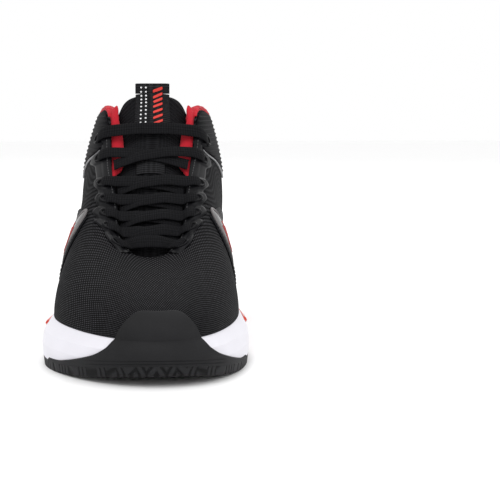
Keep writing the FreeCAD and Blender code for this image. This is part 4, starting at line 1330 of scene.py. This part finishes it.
def make_saddles():
    for side in SIDES:
        make_saddle(side)
        for inset, tag in ((0.04, "outer"), (0.075, "inner")):
            u = np.r_[np.full(60, inset * 0.7), np.linspace(inset * 0.7, 0.97, 90)]
            v = np.r_[np.linspace(0.04, 1 - inset, 60), np.full(90, 1 - inset)]
            points, normals = saddle_place(side, u, v, PANEL_OUT)
            stitch_row("saddle_stitches_%s_%s" % (tag, side), points, normals)


# ---------------------------------------------------------------- heel

COVER_TOP = 0.58
COVER_FOOT = 0.012
COVER_RISE = 40
STATION_RUN = 34


def cover_half(v):
    """Half width of the heel cover in stations, narrowing upwards."""
    return 1.22 - 0.42 * v - 0.16 * np.clip(v - 0.8, 0, None) * 5


def cover_place(s, v, out):
    """Heel cover place: s from -1 to 1 across it and v from 0 to 1 up it."""
    return upper(COUNT / 2 + cover_half(v) * s, COVER_FOOT + (COVER_TOP - COVER_FOOT) * v, out)


def make_counter():
    def cover(u, v):
        s = 2 * u - 1
        half = cover_half(v) * STATION_RUN
        side_gap, top_gap, low_gap = (1 - np.abs(s)) * half, (1 - v) * COVER_RISE, v * COVER_RISE
        near = np.minimum(side_gap, top_gap)
        border = ease((5.2 - near) / 0.8)
        rim = ease((1.0 - np.minimum(near, low_gap)) / 1.0)
        inner = 1 - border
        ribs = ridge(low_gap / 3.0, 1.5) * ease((low_gap - 11) / 1.0) * ease((19.5 - low_gap) / 1.0)
        arch_line = 3.2 + 6.0 * np.clip(1 - (s / 0.8) ** 2, 0, 1)
        arch = ease((1.9 - np.abs(low_gap - arch_line)) / 0.8)
        rise = 0.55 * border - 0.75 * rim + inner * (0.65 * ribs * (1 - arch) + 0.75 * arch)
        return cover_place(s, v, TRIM_OUT - 0.75 + rise)

    skin_panel("heel_counter", MATERIALS["panel"], 260, 150, cover, 1.5, (78, 40),
               nodes=("heel_cover",))


def make_counter_stitches():
    for inset, tag in ((2.0, "outer"), (3.6, "inner")):
        v = np.linspace(0.04, 1 - inset / COVER_RISE, 60)
        half = cover_half(v) * STATION_RUN
        s = 1 - inset / half
        top = np.linspace(s[-1], -s[-1], 60)
        path_s = np.r_[s, top, -s[::-1]]
        path_v = np.r_[v, np.full(60, v[-1]), v[::-1]]
        points = cover_place(path_s, path_v, TRIM_OUT - 0.15)
        a = COUNT / 2 + cover_half(path_v) * path_s
        _, _, normal = skin_frame(a, COVER_FOOT + (COVER_TOP - COVER_FOOT) * path_v)
        stitch_row("counter_stitches_" + tag, points, normal)


def heel_bar(middle):
    def place(u, v):
        return upper(middle + 0.11 * (u - 0.5) + 0.08 * (v - 0.5), 0.37 + 0.10 * v,
                     TRIM_OUT + 0.45)

    return grid_mesh(6, 6, place)


def make_heel_marks():
    marks = join_pieces([heel_bar(COUNT / 2 + 0.22 * (k - 2)) for k in range(5)])
    thicken(marks, 0.9, bevel=0.2)
    finish_piece(marks, "heel_marks", MATERIALS["mark_red"], "root", angle=40)
    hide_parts("heel_emblem")


def make_rib_panel(side):
    outer, inner = side_span(side, COUNT / 2 - 0.66, COUNT / 2 - 0.30)

    def panel(u, v):
        a, w = outer + (inner - outer) * u, COVER_TOP + 0.03 + (0.985 - COVER_TOP - 0.03) * v
        inside = away_from_edges(u, v, 17, 30, 1.2)
        ribs = ridge((v * 30 + facing(side, u) * 17 * 0.8) / 2.6, 1.3)
        return upper(a, w, PANEL_OUT - 0.3 + 0.75 * inside * ribs)

    skin_panel("heel_rib_panel_" + side, MATERIALS["panel"], 70, 110, panel, 1.0, (17, 30),
               nodes=("heel_panel_" + side,))


def make_heel_cord(side):
    stops = []
    for k in range(13):
        share = k / 12
        a = side_place(side, COUNT / 2 - 0.72 - 0.12 * share ** 2)
        w = 0.98 - (0.98 - COVER_TOP - 0.04) * share
        along, _, normal = skin_frame(a, w)
        stops.append((upper(a, w, PANEL_IN - 0.1), along, normal))
    piping = band_mesh(stops, 2.6, 1.7, samples=60, power=2.2, around=18)
    finish_piece(piping, "heel_cord_" + side, MATERIALS["synthetic"], "root",
                 angle=80)
    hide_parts("heel_piping_" + side)


def make_heel():
    make_counter()
    make_counter_stitches()
    make_heel_marks()
    for side in SIDES:
        make_rib_panel(side)
        make_heel_cord(side)


def make_heel_tab():
    back = np.asarray(COUNT / 2)
    length = float(girth_length(back[None])[0])
    hump = 0.5 * math.hypot(ROLL_IN, 7.6) + 1.3
    sideways = np.array([1.0, 0, 0])

    def stop(w, out, facing_out):
        _, _, normal = skin_frame(back, np.asarray(float(w)))
        return upper(back, np.asarray(float(w)), out), sideways, normal * facing_out

    stops = [stop(w, ROLL_IN - 1.9, -1) for w in (0.80, 0.86, 0.92)]
    _, up, outward = skin_frame(back, np.asarray(1.0))
    upward = unit(up)
    centre = upper(back, np.asarray(1 + 0.2 / length), ROLL_IN / 2)
    for k in range(9):
        turn = math.pi * k / 8
        ray = outward * -math.cos(turn) + upward * math.sin(turn)
        stops.append((centre + ray * hump, sideways, ray))
    stops += [stop(w, PANEL_OUT + 0.15, 1) for w in (0.90, 0.82, 0.74, COVER_TOP + 0.02)]
    tab = band_mesh(stops, 17.0, 1.3, samples=170, power=7.0, around=40)
    finish_piece(tab, "heel_tab_webbing", MATERIALS["webbing"], "root", angle=60)
    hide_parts("heel_pull_tab")


# ---------------------------------------------------------------- sole trim

def make_heel_band():
    first, last = 5.35, COUNT - 5.35
    height = bpy.context.scene.high_top_trim.band_height

    def band(u, v):
        a = first + (last - first) * u
        _, y, _, _ = outline(a)
        middle = through(((0.38, 19.0), (0.75, 24.0), (1.0, 30.8)), y / HALF_LENGTH)
        taper = np.minimum(1, np.minimum(0.35 + 6 * u, 0.35 + 6 * (1 - u)))
        across, rise = section(v, height, 2.6, 3.2)
        bead = 0.35 * ease((np.abs(across) - 2.6) / 0.8) * (rise > 0)
        return wall(a, middle + across * taper, 0.2 + rise + bead)

    obj = close_up(grid_mesh(220, 40, band, (250, 18)))
    finish_piece(obj, "heel_band_gel", MATERIALS["band_window"], "root", angle=60)
    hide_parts("heel_band")


def make_flash(side):
    def stripe(u, v):
        a = side_place(side, 2.75 + 1.35 * u)
        _, y, _, _ = outline(a)
        taper = np.minimum(1, np.minimum(0.3 + 3 * u, 0.3 + 3 * (1 - u)))
        across, rise = section(v, 7.2, 1.9, 3.0)
        return wall(a, feather(y) - 5 - 3.6 * taper + across * taper, 0.1 + rise)

    piece = close_up(grid_mesh(90, 28, stripe, (60, 14)))
    finish_piece(piece, "forefoot_flash_" + side, MATERIALS["band_red"], "root",
                 angle=60)
    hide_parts("forefoot_stripe_" + side)


def make_sole_trim():
    make_heel_band()
    for side in SIDES:
        make_flash(side)


BUMPER_LINE = ((0.0, 1.0), (0.36, 0.98), (0.59, 0.79), (0.68, 0.655), (0.76, 0.485), (0.83, 0.345),
               (1.03, 0.20), (1.57, 0.06), (1.9, 0.04))


def make_toe():
    def bumper(u, v):
        a = BUMPER_LINE[-1][0] * (2 * u - 1)
        _, y, _, _ = outline(a)
        top = through(BUMPER_LINE, np.abs(a))
        rise = v * top
        low, high = outsole_top(y), feather(y)
        across = np.abs(2 * u - 1)
        below_edge = (top - rise) * 54
        thick = 0.45 + 1.2 * (1 - across ** 2) - 0.7 * ease(1.0 - below_edge)
        height = rise * 40
        lines = ridge(height / 2.3, 2.5) * ease(6.6 - height) * ease((0.62 - across) / 0.1)
        panel = ease((across - 0.30) / 0.02) * ease((0.42 - across) / 0.02)
        out = thick - 0.4 * lines - 0.15 * panel * ease((rise - 0.25) / 0.05)
        knee = np.minimum(rise / 0.5, 1)
        climb = np.clip((rise - 0.5) / 0.5, 0, 1)
        on_wall, on_vamp = wall(a, low + (high - low) * knee, out), upper(a, 0.33 * climb, out)
        share = ease((rise - 0.44) / 0.12)[:, None]
        return on_wall * (1 - share) + on_vamp * share

    skin_panel("toe_cap", MATERIALS["toe_rubber"], 240, 130, bumper, 0.3, (150, 54),
               nodes=("toe_bumper",))


# ---------------------------------------------------------------- stage

CAMERA_PLACE = (0.001, -0.883, 0.143)
CAMERA_DOWN = 5.8
CAMERA_TURN = -3.9


def make_stage():
    sizes = bpy.context.scene.high_top_stage
    deselect()
    bpy.ops.mesh.primitive_plane_add(size=8, location=(0, 0, 0))
    floor = bpy.context.active_object
    floor.name = "floor"
    material, tree, shader = node_material("floor_pale", (0.95, 0.95, 0.95), 0.7,
                                           Specular_IOR_Level=0.1)
    grain = noise(tree, coordinates(tree, "Object"), 0.02, 2.0)
    colour_from(tree, shader, blend_colours(tree, grain, (0.94, 0.94, 0.94), (0.97, 0.97, 0.97)))
    floor.data.materials.append(material)

    world = bpy.data.worlds.new("studio")
    bpy.context.scene.world = world
    world.use_nodes = True
    world.node_tree.nodes["Background"].inputs[0].default_value = (1, 1, 1, 1)
    world.node_tree.nodes["Background"].inputs[1].default_value = sizes.world_light

    for name, place, aim, size, power in (
            ("key", (-0.5, -0.9, 1.9), (0, 0, 0.06), 1.0, 13),
            ("fill", (1.3, -1.0, 0.9), (0, 0, 0.06), 1.2, 4),
            ("back", (0.3, 1.5, 1.3), (0, 0, 0.08), 1.2, 8)):
        bpy.ops.object.light_add(type="AREA", location=place)
        light = bpy.context.active_object
        light.name = name
        light.data.size = size
        light.data.energy = power
        light.rotation_euler = (Vector(aim) - Vector(place)).to_track_quat("-Z", "Y").to_euler()

    bpy.ops.object.camera_add(location=CAMERA_PLACE)
    camera = bpy.context.active_object
    camera.name = "camera"
    camera.rotation_euler = (math.radians(90 - CAMERA_DOWN), 0, math.radians(CAMERA_TURN))
    camera.data.sensor_width = 36
    camera.data.lens = sizes.lens_mm
    bpy.context.scene.camera = camera
    bpy.context.scene.view_settings.view_transform = "Standard"


class StageSizes(bpy.types.PropertyGroup):
    """Camera and light of the studio."""
    lens_mm: FloatProperty(name="Lens", description="Focal length in millimetres", default=108.6,
                           min=20, max=300)
    world_light: FloatProperty(name="World light", description="Brightness of the white room",
                               default=1.0, min=0, max=3)


class Colours(bpy.types.PropertyGroup):
    """Colours of the shoe, and the size of its knit."""
    knit: FloatVectorProperty(name="Knit", description="Yarn that shows on the forefoot",
                              default=(0.052, 0.052, 0.056), min=0, max=1, size=3, subtype="COLOR")
    side_knit: FloatVectorProperty(name="Side knit", description="Yarn that shows on the sides",
                                   default=(0.034, 0.034, 0.037), min=0, max=1, size=3,
                                   subtype="COLOR")
    knit_pitch: FloatProperty(name="Knit pitch", description="Size of one knit cell in millimetres",
                              default=2.1, min=0.5, max=6)
    rubber: FloatVectorProperty(name="Rubber", description="Outsole and toe cap",
                                default=(0.013, 0.013, 0.014), min=0, max=1, size=3,
                                subtype="COLOR")
    midsole: FloatVectorProperty(name="Midsole", description="Foam of the midsole",
                                 default=(0.70, 0.69, 0.74), min=0, max=1, size=3, subtype="COLOR")
    lining: FloatVectorProperty(name="Lining", description="Collar and lining cloth",
                                default=(0.46, 0.010, 0.022), min=0, max=1, size=3,
                                subtype="COLOR")
    rings: FloatVectorProperty(name="Rings", description="Ankle rings",
                               default=(0.62, 0.030, 0.018), min=0, max=1, size=3, subtype="COLOR")
    marks: FloatVectorProperty(name="Marks", description="Strokes, dashes and bars",
                               default=(0.62, 0.038, 0.028), min=0, max=1, size=3, subtype="COLOR")


class TrimSizes(bpy.types.PropertyGroup):
    """Stitches, ankle rings and heel band."""
    stitch_pitch: FloatProperty(name="Stitch pitch", description="Step of the sewing in millimetres",
                                default=2.4, min=1, max=6)
    stitch_length: FloatProperty(name="Stitch length", description="One stitch in millimetres",
                                 default=1.7, min=0.5, max=5)
    ring_width: FloatProperty(name="Ring width", description="Width of the ankle rings' moulding "
                              "in millimetres", default=3.6, min=2, max=6)
    band_height: FloatProperty(name="Band height", description="Height of the heel band in "
                               "millimetres", default=9.0, min=5, max=12)


class LaceSizes(bpy.types.PropertyGroup):
    """Flat lace."""
    width: FloatProperty(name="Width", description="Width of the flat lace in millimetres",
                         default=8.4, min=4, max=12)


class HIGHTOP_OT_materials(bpy.types.Operator):
    """Make every finish and give the design's own pieces theirs"""
    bl_idname = "high_top.materials"
    bl_label = "Materials"

    def execute(self, context):
        make_materials()
        dress_nodes()
        return {"FINISHED"}


class HIGHTOP_OT_knit(bpy.types.Operator):
    """Knit the vamp and the quarters"""
    bl_idname = "high_top.knit"
    bl_label = "Knitted upper"

    def execute(self, context):
        make_knit()
        return {"FINISHED"}


class HIGHTOP_OT_laces(bpy.types.Operator):
    """Lace the shoe with flat woven lace"""
    bl_idname = "high_top.laces"
    bl_label = "Laces"

    def execute(self, context):
        make_laces()
        return {"FINISHED"}


class HIGHTOP_OT_eyestays(bpy.types.Operator):
    """Mould the eyestays with their fingers, eyelets and stitches"""
    bl_idname = "high_top.eyestays"
    bl_label = "Eyestays"

    def execute(self, context):
        make_eyestays()
        return {"FINISHED"}


class HIGHTOP_OT_tongue(bpy.types.Operator):
    """Pad the tongue and sew on its tab, lace loop and label"""
    bl_idname = "high_top.tongue"
    bl_label = "Tongue"

    def execute(self, context):
        make_tongue()
        return {"FINISHED"}


class HIGHTOP_OT_pull_loop(bpy.types.Operator):
    """Fold the webbing loop at the top of the tongue"""
    bl_idname = "high_top.pull_loop"
    bl_label = "Pull loop"

    def execute(self, context):
        make_pull_loop()
        return {"FINISHED"}


class HIGHTOP_OT_collar(bpy.types.Operator):
    """Pad and line the collar"""
    bl_idname = "high_top.collar"
    bl_label = "Collar"

    def execute(self, context):
        make_collar()
        return {"FINISHED"}


class HIGHTOP_OT_wings(bpy.types.Operator):
    """Emboss the collar wings and lay their piping"""
    bl_idname = "high_top.wings"
    bl_label = "Collar wings"

    def execute(self, context):
        make_wings()
        return {"FINISHED"}


class HIGHTOP_OT_rings(bpy.types.Operator):
    """Mould the ankle rings and sew round them"""
    bl_idname = "high_top.rings"
    bl_label = "Ankle rings"

    def execute(self, context):
        make_rings()
        return {"FINISHED"}


class HIGHTOP_OT_badges(bpy.types.Operator):
    """Dome the side badges and set their strokes"""
    bl_idname = "high_top.badges"
    bl_label = "Side badges"

    def execute(self, context):
        make_badges()
        return {"FINISHED"}


class HIGHTOP_OT_saddles(bpy.types.Operator):
    """Lay the midfoot saddles and their double stitching"""
    bl_idname = "high_top.saddles"
    bl_label = "Saddles"

    def execute(self, context):
        make_saddles()
        return {"FINISHED"}


class HIGHTOP_OT_heel(bpy.types.Operator):
    """Mould the heel counter, its rib panels, cords and marks"""
    bl_idname = "high_top.heel"
    bl_label = "Heel counter"

    def execute(self, context):
        make_heel()
        return {"FINISHED"}


class HIGHTOP_OT_heel_tab(bpy.types.Operator):
    """Sew the webbing tab over the heel"""
    bl_idname = "high_top.heel_tab"
    bl_label = "Heel tab"

    def execute(self, context):
        make_heel_tab()
        return {"FINISHED"}


class HIGHTOP_OT_sole_trim(bpy.types.Operator):
    """Mould the clear red band and the forefoot flashes"""
    bl_idname = "high_top.sole_trim"
    bl_label = "Sole trim"

    def execute(self, context):
        make_sole_trim()
        return {"FINISHED"}


class HIGHTOP_OT_toe(bpy.types.Operator):
    """Mould the rubber toe cap"""
    bl_idname = "high_top.toe"
    bl_label = "Toe cap"

    def execute(self, context):
        make_toe()
        return {"FINISHED"}


class HIGHTOP_OT_stage(bpy.types.Operator):
    """Lay the floor and set up the lights and the camera"""
    bl_idname = "high_top.stage"
    bl_label = "Stage"

    def execute(self, context):
        make_stage()
        return {"FINISHED"}


STEPS = (HIGHTOP_OT_materials,
         HIGHTOP_OT_knit,
         HIGHTOP_OT_laces,
         HIGHTOP_OT_eyestays,
         HIGHTOP_OT_tongue,
         HIGHTOP_OT_pull_loop,
         HIGHTOP_OT_collar,
         HIGHTOP_OT_wings,
         HIGHTOP_OT_rings,
         HIGHTOP_OT_badges,
         HIGHTOP_OT_saddles,
         HIGHTOP_OT_heel,
         HIGHTOP_OT_heel_tab,
         HIGHTOP_OT_sole_trim,
         HIGHTOP_OT_toe,
         HIGHTOP_OT_stage)
GROUPS = {"high_top_stage": StageSizes, "high_top_laces": LaceSizes, "high_top_colours": Colours,
          "high_top_trim": TrimSizes}


class HIGHTOP_PT_panel(bpy.types.Panel):
    """Every step of the shoe, in order"""
    bl_label = "High Top"
    bl_space_type = "VIEW_3D"
    bl_region_type = "UI"
    bl_category = "High Top"

    def draw(self, context):
        for step in STEPS:
            self.layout.operator(step.bl_idname)


CLASSES = (*GROUPS.values(), *STEPS, HIGHTOP_PT_panel)


def register():
    for item in CLASSES:
        bpy.utils.register_class(item)
    for name, group in GROUPS.items():
        setattr(bpy.types.Scene, name, PointerProperty(type=group))


def unregister():
    for name in GROUPS:
        delattr(bpy.types.Scene, name)
    for item in reversed(CLASSES):
        bpy.utils.unregister_class(item)


def main():
    register()
    for step in STEPS:
        group, action = step.bl_idname.split(".")
        getattr(getattr(bpy.ops, group), action)()


if __name__ == "__main__":
    main()
